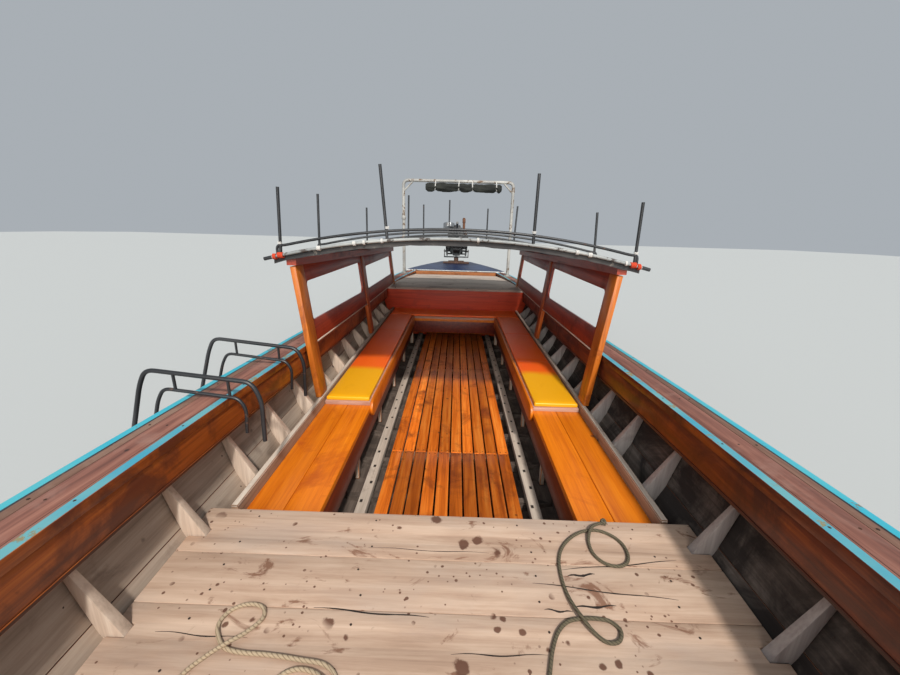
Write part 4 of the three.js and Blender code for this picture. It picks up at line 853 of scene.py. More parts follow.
def make_hull_sides():
    """Strakes with dark seams, the ribs, and the nails that hold them."""
    gap = 0.0012
    for side, sign in SIDES:
        skinned = Build()
        for k in range(STRAKES):
            s0, s1 = k / STRAKES, (k + 1) / STRAKES

            def outline(y):
                low = [skin(y, s0 + (s1 - s0) * t, 0.0) for t in (0.0, 0.5, 1.0)]
                deep = [skin(y, s0 + (s1 - s0) * t, PLANK) for t in (1.0, 0.5, 0.0)]
                up = gap if k < STRAKES - 1 else 0.0
                down = gap if k else 0.0
                low[0] = (low[0][0], low[0][1] + down)
                low[2] = (low[2][0], low[2][1] - up)
                deep[0] = (deep[0][0], min(deep[0][1], skin(y, 1.0)[1]) - up)
                deep[2] = (deep[2][0], deep[2][1] + down)
                return low + deep
            skinned.loft(stations(HULL_FRONT, HULL_BACK), outline, sign, [0, 0, 2, 1, 1, 2])
        # The port side's planks take the copy with painted shade
        inside = "inner" if side == "starboard" else "inner_shaded_port"
        skinned.done(f"planking_{side}", ["outside", inside, "tar"], bevel=0.001, steps=1,
                     replaces=(f"hull_side_{side}",))

        ribs = Build()
        for y in RIBS:
            ribs.rows([
                [(sign * x, y + way, z)
                 for (x, z), way in zip(pair + pair[::-1], (-half, -half, half, half))]
                for pair, half in rib_sections(y)])
        # The port ribs take the copy with painted shade
        ribs.done(f"ribs_{side}", "rib" if side == "starboard" else "rib_port", bevel=0.003)

        nails = Build()
        for k, y in enumerate(RIBS):
            for s in (0.31, 0.51, 0.71):
                across = -0.040 if (k + round(s * 10)) % 2 else 0.036
                x, z = skin(y + across, s, PLANK)
                x2, z2 = skin(y + across, s, PLANK + 0.001)
                way = Vector(((x2 - x) * sign, 0, z2 - z)).normalized()
                nail(nails, (sign * x, y + across, z), way)
        nails.done(f"plank_nails_{side}", "nail")


def rib_sections(y):
    """Pairs of an outer and an inner point up a rib, and half its thickness at each."""
    top = sheer(y) - CAP_THICKNESS - 0.003
    wale_foot = top - WALE_HEIGHT - 0.001
    behind = cap_inner(y) + WALE_THICKNESS + 0.007
    inner = max(behind, room_half(y, wale_foot) - RIB_TOP_DEPTH)
    foot = rib_foot(y)
    sunk = PLANK * 0.9
    start = skin(y, 0.03, PLANK + RIB_DEPTH)
    knee = (foot, KNEE)
    middle = tuple((a + b) / 2 for a, b in zip(start, knee))
    levels = [(middle, 0.018), (knee, 0.018), ((foot, FOREDECK_TOP - 0.005), 0.017),
              ((inner, wale_foot), 0.010), ((inner, top), 0.009)]
    sections = [([skin(y, 0.03, sunk), start], 0.018)]
    for point, half in levels:
        reach = min(room_half(y, point[1], sunk), skin(y, 0.995, sunk)[0])
        sections.append(([(reach, point[1]), point], half))
    return sections


def make_gunwales():
    """Caps of boards with a painted line, the rubbing strake and the wale boards inside."""
    # Columns: start and end across the cap from its inner edge, drop of its top
    boards = [(0.0, 0.0432, 0.0), (0.0455, 0.132, 0.0), (0.136, 0.168, 0.001),
              (0.1686, 0.178, 0.002)]
    painted = (0.003, 0.035)
    for side, sign in SIDES:
        # The port wale takes the copy with painted shade
        varnish = "wale" if side == "starboard" else "wale_port"
        finishes = ["cap", "cap", "cap_dark", "tar", "turquoise", "rub", varnish]
        rows = stations(HULL_FRONT, HULL_BACK + TRANSOM, 0.13)
        cap = Build()
        for slot, (start, end, drop) in enumerate(boards):
            def outline(y):
                at = min(y, HULL_BACK)
                top = sheer(at)
                x0 = max(cap_outer(at) - CAP_WIDTH + start, SEAM / 2)
                x1 = max(cap_outer(at) - CAP_WIDTH + end, x0 + SEAM)
                low = top - CAP_THICKNESS
                line = [(x0, low), (x1, low), (x1, top - drop)]
                if slot == 0:
                    wide = x1 - x0
                    line += [(x0 + wide * part / end, top) for part in reversed(painted)]
                return line + [(x0, top - drop)]
            cap.loft(rows, outline, sign, [0, 0, 0, 4, 6, 6] if slot == 0 else slot)

        def strake(y):
            at = min(y, HULL_BACK)
            x = cap_outer(at) + 0.0008
            edge = cap_outer(at) + RUB_WIDTH
            top = sheer(at) - 0.006
            low = sheer(at) - CAP_THICKNESS - 0.014
            return [(x, low), (edge - 0.008, low), (edge, low + 0.010), (edge, top - 0.009),
                    (edge - 0.008, top), (x, top)]
        cap.loft(rows, strake, sign, 5)
        cap.done(f"gunwale_cap_{side}", finishes, bevel=0.0022, replaces=(f"gunwale_{side}",))

        wale = Build()
        bead = 0.013
        rows = stations(BOW_DECK_AFT + 0.04, CABIN_END)

        def board_outline(y):
            inner = cap_inner(y) + 0.004
            top = sheer(y) - CAP_THICKNESS - SEAM
            return rect(inner, inner + WALE_THICKNESS, top - WALE_HEIGHT + bead + SEAM, top)
        wale.loft(rows, board_outline, sign, 0)

        def bead_outline(y):
            inner = cap_inner(y) + 0.001
            low = sheer(y) - CAP_THICKNESS - SEAM - WALE_HEIGHT
            return rect(inner, inner + WALE_THICKNESS + 0.003, low, low + bead)
        # The bead takes the near-black colour of painted shade
        wale.loft(rows, bead_outline, sign, 1)
        wale.done(f"wale_{side}", [varnish, "wale_shadow_line"], bevel=0.002,
                  replaces=(f"wale_board_{side}",))

        heads = Build()
        for k, y in enumerate(stations(HULL_FRONT + 0.4, HULL_BACK - 1.3, 0.42)):
            for across in (0.024, 0.085 + 0.02 * (k % 2), 0.152):
                nail(heads, (sign * (cap_outer(y) - CAP_WIDTH + across), y, sheer(y)))
        heads.done(f"cap_nails_{side}", "nail")


def planked(build, edges, half, top):
    """Boards athwart between the given edges along Y, a gap apart, each at its own height."""
    for start, end in zip(edges, edges[1:]):
        y0, y1 = start + 0.0012, end - 0.0012
        tall = random.uniform(-0.0012, 0.0)
        rows = [y0, (y0 + y1) / 2, y1] if y1 - y0 > 0.1 else [y0, y1]

        def outline(y):
            w, z = half(y), top(y) + tall
            return rect(-w, w, z - DECK, z)
        build.loft(rows, outline)


def beam(build, y, half, top):
    """A beam athwart under a deck's boards."""
    build.box(-half, half, y - 0.025, y + 0.025, top - 0.068, top - SEAM)


def make_foredeck():
    """Six wide boards, notched round the ribs, on three beams."""
    fore = Build()
    edges = [BOW_DECK_AFT + BULKHEAD + 0.002, -2.33, -2.09, -1.86, -1.625, -1.43, FOREDECK_AFT]
    low = FOREDECK_TOP - DECK
    notch = 0.0205
    for start, end in zip(edges, edges[1:]):
        y0, y1 = start + 0.0011, end - 0.0011
        cuts = sorted({y0, y1, *[y for rib in RIBS for y in (rib - notch, rib + notch)
                                 if y0 < y < y1]})
        rows = [r for c in cuts for r in (c - 1e-4, c + 1e-4)][1:-1]

        def outline(y):
            w = room_half(y, low) - 0.001
            if min(abs(y - rib) for rib in RIBS) < notch:
                w = min(w, rib_foot(y) - 0.002)
            return rect(-w, w, low, FOREDECK_TOP)
        fore.loft(rows, outline)
    for y, drop in ((-2.56, 0.08), (-1.88, 0.08), (FOREDECK_AFT - 0.045, 0.12)):
        half = room_half(y, low - drop) - 0.003
        fore.box(-half, half, y, y + 0.045, low - drop, low - SEAM)
    fore.done("foredeck_boards", "deck", bevel=0.0028, replaces=("foredeck",))


def make_bow_deck():
    bow = Build()

    def top(y):
        return sheer(y) - BOW_DECK_DROP
    planked(bow, divided(HULL_FRONT + 0.33, BOW_DECK_AFT, 17),
            lambda y: max(room_half(y, top(y) - DECK) - 0.003, 0.02), top)
    for y in (-4.66, -3.90, -3.16):
        beam(bow, y, cap_inner(y - 0.025) - 0.012, min(top(y - 0.025), top(y + 0.025)) - DECK)
    bow.done("bow_deck_boards", "bow", bevel=0.0028, replaces=("bow_deck",))


def make_aft_deck():
    aft = Build()
    planked(aft, divided(AFT_DECK_FRONT - BULKHEAD, AFT_DECK_BACK, 13),
            lambda y: cap_inner(y) - 0.002, lambda y: AFT_DECK_TOP)
    for y in (3.6, 4.1, 4.6):
        beam(aft, y, cap_inner(y + 0.025) - 0.008, AFT_DECK_TOP - DECK)
    aft.done("aft_deck_boards", "aft", bevel=0.0028, replaces=("aft_deck",))


def make_stern_deck():
    """The cap over the stern with a pale line along its front, on its riser and its block."""
    stern = Build()
    back = HULL_BACK + TRANSOM

    def slab(y):
        half = cap_outer(min(y, HULL_BACK)) - 0.004
        low = sheer(min(y, HULL_BACK)) + SEAM
        return rect(-half, half, low, low + STERN_DECK - SEAM)
    line = STERN_DECK_FRONT + 0.030
    stern.loft((STERN_DECK_FRONT, line), slab, 1, 1)
    stern.loft(stations(line, back), slab, 1, 0)
    riser = STERN_DECK_FRONT + 0.020
    half = cap_inner(riser) - SEAM
    stern.box(-half, half, STERN_DECK_FRONT, riser, AFT_DECK_TOP - DECK,
              sheer(STERN_DECK_FRONT) + STERN_DECK - 0.010, 2)
    half = cap_inner(HULL_BACK) - SEAM
    top = sheer(HULL_BACK) + 0.010
    stern.box(-half, half, HULL_BACK - 0.060, back, top - 0.010 - CAP_THICKNESS, top)
    stern.done("stern_deck_boards", ["navy", "white_line", "riser"], bevel=0.003,
               replaces=("stern_deck",))


def make_deck_marks():
    """Open cracks in the foredeck, and its nails."""
    marks = Build()
    # Columns: x from, x to, y from, y to, widest gap
    cracks = [
        (0.415, 0.86, -1.452, -1.395, 0.006), (0.30, 0.78, -1.508, -1.552, 0.0055),
        (0.32, 0.41, -1.60, -1.605, 0.007), (0.43, 0.53, -1.475, -1.465, 0.012),
        (0.42, 0.56, -1.588, -1.580, 0.009), (-0.42, -0.05, -1.622, -1.640, 0.006),
        (0.36, 0.66, -1.935, -1.900, 0.006), (-0.86, -0.58, -1.712, -1.720, 0.004),
        (-0.30, 0.16, -1.385, -1.392, 0.003), (0.02, 0.30, -1.742, -1.735, 0.004),
    ]
    count = 14
    low = ON_DECK - 0.0015
    for x0, x1, y0, y1, wide in cracks:
        rows = []
        for k in range(count + 1):
            t = k / count
            x, y = x0 + (x1 - x0) * t, y0 + (y1 - y0) * t + 0.003 * math.sin(9 * t)
            taper = math.sin(math.pi * min(max(t, 0.02), 0.98)) ** 0.6
            w = wide * taper * random.uniform(0.6, 1) / 2
            rows.append([(x, y - w, ON_DECK), (x, y + w, ON_DECK), (x, y + w, low), (x, y - w, low)])
        marks.rows(rows)
    marks.done("deck_cracks", "crack")

    heads = Build()
    for y in (-2.52, -2.38, -2.28, -2.14, -2.04, -1.91, -1.81, -1.67, -1.575, -1.48, -1.38, -1.25):
        for x in (-0.78, -0.30, 0.30, 0.78):
            nail(heads, (x + random.uniform(-0.02, 0.02), y, FOREDECK_TOP))
    heads.done("deck_nails", "nail")


def make_floor():
    """Slats on bearers, the boards over the stringers beside them, and their nails."""
    pitch = SLAT_WIDTH + SLAT_GAP
    half = (SLAT_COUNT * pitch - SLAT_GAP) / 2
    low = FLOOR_TOP - SLAT_THICKNESS
    slats = [-half + k * pitch for k in range(SLAT_COUNT)]
    first, last = FLOOR_FORE + 0.09, FLOOR_AFT - 0.11
    floor = Build()
    for start, end in ((FLOOR_FORE, FLOOR_JOINT - 0.004), (FLOOR_JOINT + 0.004, FLOOR_AFT - 0.02)):
        for x in slats:
            floor.box(x, x + SLAT_WIDTH, start, end, low, FLOOR_TOP)
    for y in (first, FLOOR_JOINT, 1.42, last):
        floor.box(-half, half, y - 0.035, y + 0.035, low - BEARER_HEIGHT, low - SEAM, 1)
    floor.done("floor_slats", ["slat", "coaming"], bevel=0.0035, replaces=("floor_boards",))

    stringers = Build()
    top = low - BEARER_HEIGHT - SEAM + 0.0458
    inner, outer = STRINGER_INNER - 0.0006, STRINGER_INNER + STRINGER_WIDTH
    for _, sign in SIDES:
        x0, x1 = sorted((sign * inner, sign * outer))
        stringers.box(x0, x1, FOREDECK_AFT + 0.011, 2.899, top - 0.044, top)
        for k, y in enumerate(stations(-1.05, 2.75, 0.165)):
            x = (x0 + x1) / 2 + 0.012 * math.sin(2.4 * k)
            stringers.box(x - 0.009, x + 0.009, y, y + 0.026, top - 0.001, top + 0.0006, 1)
    stringers.done("stringer_boards", ["stringer", "crack"], bevel=0.002)

    heads = Build()
    for x in slats:
        for y in (first, FLOOR_JOINT - 0.02, FLOOR_JOINT + 0.02, 1.42, last):
            for across in (-0.02, 0.02):
                nail(heads, (x + SLAT_WIDTH / 2 + across, y, FLOOR_TOP))
    heads.done("floor_nails", "nail")


def lip_outline():
    """The raised inner edge of a bench, in side view, with a round fore end."""
    r = (LIP_TOP - LIP_BOTTOM) / 2
    bend = [(LIP_FORE + r + r * math.cos(a), LIP_BOTTOM + r + r * math.sin(a))
            for a in (math.pi * (0.5 + k / 10) for k in range(11))]
    return [(AFT_BENCH_FRONT - SEAM, LIP_BOTTOM), (AFT_BENCH_FRONT - SEAM, LIP_TOP), *bend]


def make_benches():
    """Side benches of two boards on brackets, the coamings beside them, and the aft bench."""
    low = BENCH_TOP - BENCH_THICKNESS
    under = low - SEAM
    front_low = BENCH_TOP - 0.2
    leg_low = -0.161
    beside = COAMING_INNER - SEAM
    split = (BENCH_INNER + COAMING_INNER) / 2
    end = AFT_BENCH_FRONT - SEAM
    leg_inner, leg_outer = BENCH_INNER + 0.019, BENCH_INNER + 0.046
    for side, sign in SIDES:
        bench = Build()
        # Columns: x from, x to, y from, y to, z from, z to, material
        boards = [
            (BENCH_INNER, split - 0.0015, BENCH_FORE, end, low, BENCH_TOP, 0),
            (split + 0.0015, beside, BENCH_FORE, end, low, BENCH_TOP, 0),
            (BENCH_INNER, BENCH_INNER + 0.018, BENCH_FORE, end, front_low, under, 1),
        ]
        for y in (-1.15, -0.43, 0.31, 1.05, 1.80):
            boards.append((leg_inner, beside, y, y + 0.045, low - 0.055, under, 2))
            boards.append((leg_inner, leg_outer, y, y + 0.045, leg_low, low - 0.056, 2))
        for board in boards:
            bench.side_box(sign, *board)
        bench.rows([[(sign * x, y, z) for y, z in lip_outline()]
                    for x in (BENCH_INNER - 0.020, BENCH_INNER - SEAM)], 3)
        bench.done(f"bench_boards_{side}", ["bench", "bench_red", "rib", "bench"], bevel=0.003,
                   replaces=(f"bench_{side}",))

        wall = Build()
        edge = FOREDECK_TOP - 0.012
        for z0, z1, slot in ((COAMING_BOTTOM, edge, 0), (edge + 0.0002, FOREDECK_TOP, 1)):
            wall.side_box(sign, COAMING_INNER, COAMING_OUTER, BENCH_FORE + 0.002, CABIN_END,
                          z0, z1, slot)
        wall.done(f"coaming_board_{side}", ["coaming", "pale_edge"], bevel=0.003,
                  replaces=(f"coaming_{side}",))

    aft = Build()
    front = AFT_BENCH_FRONT
    middle = (front + CABIN_END) / 2
    aft.box(-beside, beside, front, middle - 0.0015, low, BENCH_TOP)
    aft.box(-beside, beside, middle + 0.0015, CABIN_END, low, BENCH_TOP)
    aft.box(-leg_outer, leg_outer, front + 0.001, front + 0.021, front_low, under, 1)
    for x in (-leg_outer, leg_outer - 0.042):
        aft.box(x, x + 0.042, front + 0.022, front + 0.045, leg_low, under, 2)
    aft.done("bench_boards_aft", ["bench", "bench_red", "rib"], bevel=0.003,
             replaces=("bench_aft",))


def cushion(name, corners, height, base, node, seams):
    """A vinyl pad on a plywood board: an outline in plan, swollen by a short cloth run."""
    x0, x1, y0, y1 = corners
    inset = 0.007
    step = 0.020
    across = max(6, round((x1 - x0 - 2 * inset) / step))
    along = max(6, round((y1 - y0 - 2 * inset) / step))
    top, low = base + height - 0.005, base + 0.0012
    grid = bmesh.new()
    xs = [x0 + inset + (x1 - x0 - 2 * inset) * i / across for i in range(across + 1)]
    ys = [y0 + inset + (y1 - y0 - 2 * inset) * j / along for j in range(along + 1)]
    sheets = [[[grid.verts.new((x, y, z)) for x in xs] for y in ys] for z in (low, top)]
    for rows in sheets:
        for j in range(along):
            for i in range(across):
                grid.faces.new((rows[j][i], rows[j][i + 1], rows[j + 1][i + 1], rows[j + 1][i]))
    rim = ([(0, i) for i in range(across)] + [(j, across) for j in range(along)]
           + [(along, i) for i in range(across, 0, -1)] + [(j, 0) for j in range(along, 0, -1)])
    lower, upper = sheets
    for (j, i), (j2, i2) in zip(rim, rim[1:] + rim[:1]):
        grid.faces.new((lower[j][i], lower[j2][i2], upper[j2][i2], upper[j][i]))
    bmesh.ops.recalc_face_normals(grid, faces=grid.faces)
    side_edges = [e for e in grid.edges if abs(e.verts[0].co.z - e.verts[1].co.z) > height / 2]
    bmesh.ops.subdivide_edges(grid, edges=side_edges, cuts=2)
    mesh = bpy.data.meshes.new(name)
    grid.to_mesh(mesh)
    grid.free()
    mesh.materials.append(MATERIALS["vinyl"])
    piece = placed(name, mesh)
    rest = [v.co.copy() for v in mesh.vertices]
    swell(piece, rest, base + 0.0008)
    seam_depth, seam_half = 0.0065, 0.011
    for vertex, r in zip(mesh.vertices, rest):
        if r.z < top - 0.004:
            continue
        for axis, at in seams:
            away = abs((vertex.co.y if axis == "y" else vertex.co.x) - at)
            vertex.co.z -= seam_depth * math.exp(-((away / seam_half) ** 2))
    smooth = piece.modifiers.new("smooth", "SUBSURF")
    smooth.levels = smooth.render_levels = 1
    smoothed = piece.evaluated_get(bpy.context.evaluated_depsgraph_get())
    final = bpy.data.meshes.new_from_object(smoothed)
    piece.modifiers.clear()
    piece.data = final
    final.name = name
    final.shade_smooth()
    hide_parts(node)
    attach(piece, "hull")


def swell(piece, rest, lowest):
    """A short cloth run with air inside; no vertex moves far, and none below its board."""
    farthest = 0.006
    last = 16
    puff = piece.modifiers.new("puff", "CLOTH")
    puff.settings.use_pressure = True
    puff.settings.uniform_pressure_force = 3.0
    puff.settings.effector_weights.gravity = 0
    puff.settings.quality = 4
    puff.point_cache.frame_start, puff.point_cache.frame_end = 1, last
    for number in range(1, last + 1):
        bpy.context.scene.frame_set(number)
    swollen = piece.evaluated_get(bpy.context.evaluated_depsgraph_get()).to_mesh()
    moves = [v.co - r for v, r in zip(swollen.vertices, rest)]
    piece.to_mesh_clear()
    piece.modifiers.clear()
    bpy.context.scene.frame_set(1)
    for vertex, r, move in zip(piece.data.vertices, rest, moves):
        vertex.co = r + move * min(1.0, farthest / max(move.length, 1e-6))
        vertex.co.z = max(vertex.co.z, lowest)


def make_pads():
    """Three cushions with their seams, each on its plywood board."""
    base = BENCH_TOP + SEAM
    face = base + PLY_THICKNESS
    soft = PAD_THICKNESS - PLY_THICKNESS
    boards = Build()
    inner, outer = BENCH_INNER + 0.002, COAMING_INNER - 0.002
    for side, sign in SIDES:
        boards.side_box(sign, inner + 0.003, outer - 0.003, PAD_FRONT + 0.003,
                        AFT_BENCH_FRONT - 0.006, base, face)
        spread = sorted((sign * inner, sign * outer))
        cushion(f"pad_cushion_{side}", (*spread, PAD_FRONT, AFT_BENCH_FRONT - 0.003), soft, face,
                f"pad_{side}", [("y", 0.78), ("y", 1.67)])
    boards.box(-outer + 0.003, outer - 0.003, AFT_BENCH_FRONT + 0.004, CABIN_END - 0.002,
               base, face)
    cushion("pad_cushion_aft", (-outer, outer, AFT_BENCH_FRONT + 0.001, CABIN_END), soft, face,
            "pad_aft", [("x", 0.0), ("x", -BENCH_INNER), ("x", BENCH_INNER)])
    boards.done("pad_boards", "ply", bevel=0.002)


def roof_under(x, y):
    """Height of the underside of the roof's sheet."""
    rise = (ROOF_CROWN - ROOF_EDGE) * (1 - (x / ROOF_HALF) ** 2)
    return ROOF_EDGE + rise - ROOF_SLOPE * (y - ROOF_FRONT) - ROOF_SHEET


def bent(corners, radius, steps=6):
    """A path through corner points, with each inner corner rounded."""
    corners = [Vector(c) for c in corners]
    path = [corners[0]]
    for before, here, after in zip(corners, corners[1:], corners[2:]):
        back, ahead = before - here, after - here
        a = here + back.normalized() * min(radius, back.length * 0.45)
        b = here + ahead.normalized() * min(radius, ahead.length * 0.45)
        for k in range(steps + 1):
            t = k / steps
            path.append(a.lerp(here, t).lerp(here.lerp(b, t), t))
    path.append(corners[-1])
    return path


def leaning(side, across, y, up):
    """A point of a cabin side: out from its middle plane, along the boat, and up the lean."""
    x = CABIN_FOOT[0] + across * math.cos(LEAN) + up * math.sin(LEAN)
    return side * x, y, CABIN_FOOT[1] - across * math.sin(LEAN) + up * math.cos(LEAN)


def plate_under(y):
    """Height of the underside of the plate on the cabin's posts."""
    first, width, _, top = POSTS[0]
    return top + POST / 2 * math.sin(LEAN) + ROOF_SLOPE * (width / 2 + first - y) + 2 * SEAM


def make_windows():
    """Frames of one board on each cabin side, the holes with rounded corners."""
    def lifted(z):
        return (z - CABIN_FOOT[1]) / math.cos(LEAN)
    inner = -PANEL / 2
    # Columns: out from the panel's middle plane, up from its lower edge
    bead = [(inner - 0.004, 0.004), (inner - 0.0002, 0.003), (inner - 0.0002, 0.014),
            (inner - 0.004, 0.012)]
    for side, sign in SIDES:
        for name, first, fore, aft in PANELS:
            start = POSTS[first][0] + POSTS[first][1] / 2 + SEAM
            end = POSTS[first + 1][0] - POSTS[first + 1][1] / 2 - SEAM
            top_start, top_end = (lifted(plate_under(y)) - 0.003 for y in (start, end))
            y0, y1 = start + fore[2], end - aft[2]
            top = top_end - WINDOW_DROP
            # Columns: y and z of a corner of the hole, its radius, the quarter turn it starts at
            corners = [(y0, lifted(fore[1]), 0.026, 2), (y1, lifted(aft[1]), 0.062, 3),
                       (y1, top, 0.030, 0), (y0, top, 0.030, 1)]
            hole = []
            for y, z, radius, quarter in corners:
                along = y + (radius if y == y0 else -radius)
                up = z + (-radius if z == top else radius)
                for k in range(9):
                    a = math.pi / 2 * (quarter + k / 8)
                    hole.append((along + radius * math.cos(a), up + radius * math.sin(a)))
            rim = [(start, lifted(fore[0])), (end, lifted(aft[0])), (end, top_end),
                   (start, top_start)]
            flat = [[Vector((y, z, 0)) for y, z in line] for line in (rim, hole)]
            points = rim + hole
            faces = tessellate_polygon(flat)
            count = len(points)
            board = Build()
            for across, turn in ((inner, 1), (-inner, -1)):
                board.add([leaning(sign, across, y, z) for y, z in points],
                          [f[::turn] for f in faces])
            edges = [(i, (i + 1) % 4) for i in range(4)]
            edges += [(4 + i, 4 + (i + 1) % len(hole)) for i in range(len(hole))]
            board.faces += [(a, b, b + count, a + count) for a, b in edges]
            board.slots += [0] * len(edges)
            board.done(f"window_board_{side}_{name}", "frame", bevel=0.003,
                       replaces=(f"window_frame_{side}_{name}",))
            edge = Build()
            edge.rows([[leaning(sign, across, y, foot + up) for across, up in bead]
                       for y, foot in rim[:2]])
            edge.done(f"panel_bead_{side}_{name}", "pale_edge", bevel=0.001)


def wound(build, middle, radius, turns, pitch, thickness, turned=0.0):
    """Cord wound round a pipe that lies along X."""
    steps = 10
    x, y, z = middle
    path = []
    for k in range(turns * steps + 1):
        a = 2 * math.pi * k / steps + turned
        path.append((x + pitch * (k / steps - turns / 2), y + radius * math.cos(a),
                     z + radius * math.sin(a)))
    build.tube(path, thickness, 6)


def over_roof(x, y, lift):
    return x, y, roof_under(x, y) + ROOF_SHEET + lift


def make_roof():
    """Sheet with battens under it, its dark hem, the front pipe and the hoops of the rack."""
    sheet = Build()
    columns = 40
    across = [ROOF_HALF * (2 * i / columns - 1) for i in range(columns + 1)]
    front_hem, back_hem, side_hem = 0.055, 0.045, 0.06
    rows = [ROOF_FRONT + HEM, ROOF_FRONT + front_hem,
            *stations(ROOF_FRONT + 0.35, ROOF_BACK - 0.35, 0.3), ROOF_BACK - back_hem, ROOF_BACK]
    skins = []
    for y in rows:
        ease = 0.002 if y > ROOF_BACK - 0.001 else 0.0
        under = [(x, y, roof_under(x, y) + ease) for x in across]
        over = [(x, y, roof_under(x, y) + ROOF_SHEET - ease) for x in reversed(across)]
        skins.append(under + over)
    sheet.rows(skins)
    for f, face in enumerate(sheet.faces):
        corners = [Vector(sheet.points[i]) for i in face]
        middle = sum(corners, Vector()) / len(corners)
        over = middle.z > roof_under(middle.x, middle.y) + ROOF_SHEET / 2
        border = (middle.y < ROOF_FRONT + front_hem or middle.y > ROOF_BACK - back_hem
                  or abs(middle.x) > ROOF_HALF - side_hem)
        sheet.slots[f] = 2 if border else (0 if over else 1)
    front = []
    for x in across:
        z = roof_under(x, ROOF_FRONT)
        sag = 0.0022 * math.sin(17 * x) + 0.0016 * math.sin(41 * x + 1)
        low, top = z - HEM_DEPTH + 0.002 + sag, z + ROOF_SHEET
        front.append([(x, ROOF_FRONT, low), (x, ROOF_FRONT + HEM, low), (x, ROOF_FRONT + HEM, top),
                      (x, ROOF_FRONT + 0.002, top), (x, ROOF_FRONT, top - 0.003)])
    sheet.rows(front, 2)
    sheet.done("roof_cover", ["roof", "under_roof", "hem"], replaces=("roof_sheet",),
               angle=50)

    battens = Build()
    for y in (0.35, 1.0, 1.65, 2.3, 2.95):
        line = [(x, roof_under(x, y)) for x in across[4:-4]]
        outline = [(x, z - 0.020) for x, z in line] + [(x, z - 0.0008) for x, z in reversed(line)]
        battens.loft((y - 0.016, y + 0.016), lambda _: outline)
    battens.done("roof_battens", "frame", bevel=0.002)

    reach = ROOF_HALF + 0.055
    pipe = Build()
    stub = 0.050
    count = 48
    pipe.tube([front_pipe_at(-reach + stub + (reach - stub) * 2 * k / count)
               for k in range(count + 1)], FRONT_PIPE - 0.0015, 14)
    for sign in (-1, 1):
        pipe.tube([front_pipe_at(sign * (reach - stub * t)) for t in (0.0, 0.5, 0.98)],
                  FRONT_PIPE, 14, 1)
    pipe.done("front_pipe", ["pale_pipe", "black_pipe"], replaces=("roof_front_pipe",),
              angle=50)

    for number, (y, half, poles) in enumerate(HOOPS, 1):
        hoop = Build()
        count = 28
        span = half - 0.045
        over = [over_roof(span * (2 * k / count - 1), y, RAIL_RISE) for k in range(count + 1)]
        foot = [over_roof(sign * half, y, FOOT_LIFT) for sign in (-1, 1)]
        corner = [(sign * half, y, over[0][2] - 0.002) for sign in (-1, 1)]
        hoop.tube([*bent([foot[0], corner[0], over[0], over[1]], 0.036)[:-1], *over[1:-1],
                   *bent([over[-2], over[-1], corner[1], foot[1]], 0.036)[1:]], RAIL, 12)
        for x, top_x, height in poles:
            base = over_roof(x, y, FOOT_LIFT)
            hoop.tube([base, (top_x, y, base[2] + RAIL_RISE + height)], POLE, 14)
        hoop.done(f"roof_rack_{number}", "black_pipe", replaces=(f"roof_hoop_{number}",),
                  angle=50)


def front_pipe_at(x):
    """A point of the middle line of the pipe along the roof's front edge."""
    return over_roof(x, ROOF_FRONT - FRONT_PIPE - SEAM, -0.002)


def make_lashings():
    """White cord wound on the front pipe and the rack, and red cord at the roof's corners."""
    cord = 0.0022
    white = Build()
    # Columns: x, turns
    for x, turns in ((-0.845, 5), (-0.625, 4), (-0.565, 3), (-0.455, 3), (0.130, 3), (0.735, 4),
                     (0.815, 5), (1.040, 3)):
        wound(white, front_pipe_at(x), FRONT_PIPE + cord, turns, 0.0046, cord)
    hoop_y, _, poles = HOOPS[0]
    around = POLE + 0.002
    for x, _, _ in poles:
        foot = over_roof(x, hoop_y, RAIL_RISE)[2]
        for k in range(3):
            white.tube([(x + around * math.cos(a), hoop_y + around * math.sin(a),
                         foot + 0.016 + 0.005 * k + 0.002 * math.sin(a)) for a in circle(14, 1)],
                       0.0021, 6)
    white.done("rack_lashings", "white_rope", angle=80)

    red = Build()
    for sign in (-1, 1):
        for k, (x, turns) in enumerate(((1.085, 5), (1.122, 3))):
            wound(red, front_pipe_at(sign * x), FRONT_PIPE + 0.0042, turns, 0.0068, 0.0038, k)
    red.done("corner_lashings", "red_rope", angle=80)


def make_ladder():
    """The ladder's two stiles of nested pipes, with short posts between them, and its rungs."""
    outer = [(-0.858, 0.480), (-0.850, 0.680), (-0.885, 0.771), (-1.350, 0.816), (-1.390, 0.740),
             (-1.475, 0.480), (-1.590, -0.640)]
    inner = [(-0.935, 0.520), (-0.925, 0.640), (-0.955, 0.6924), (-1.285, 0.7284),
             (-1.320, 0.670), (-1.408, 0.400), (-1.482, 0.385)]
    ladder = Build()
    for y in STILES:
        ladder.tube(bent([(x, y, z) for x, z in outer], 0.042), LADDER_PIPE, 14)
        ladder.tube(bent([(x, y, z) for x, z in inner], 0.032), LADDER_PIPE - 0.002, 12)
        for x, low, high in ((-1.230, 0.721, 0.804), (-0.990, 0.696, 0.781)):
            ladder.tube([(x, y, low), (x, y, high)], 0.0065, 10)
    # Columns: radius, distance in from the stile
    weld = [(0.0, 0.0), (0.0128, 0.0), (0.0132, 0.010), (0.0105, 0.015), (0.0, 0.015)]
    (high_x, high_z), (low_x, low_z) = outer[-2:]
    for z in (0.310, 0.040, -0.230, -0.500):
        x = high_x + (z - high_z) / (low_z - high_z) * (low_x - high_x)
        ladder.tube([(x, STILES[0], z), (x, STILES[1], z)], LADDER_PIPE - 0.001, 14)
        for y, way in ((STILES[0], 1), (STILES[1], -1)):
            ladder.turned(weld, (x, y, z), (0, way, 0), 12)
    ladder.done("ladder", "black_pipe", replaces=("boarding_ladder",), angle=50)


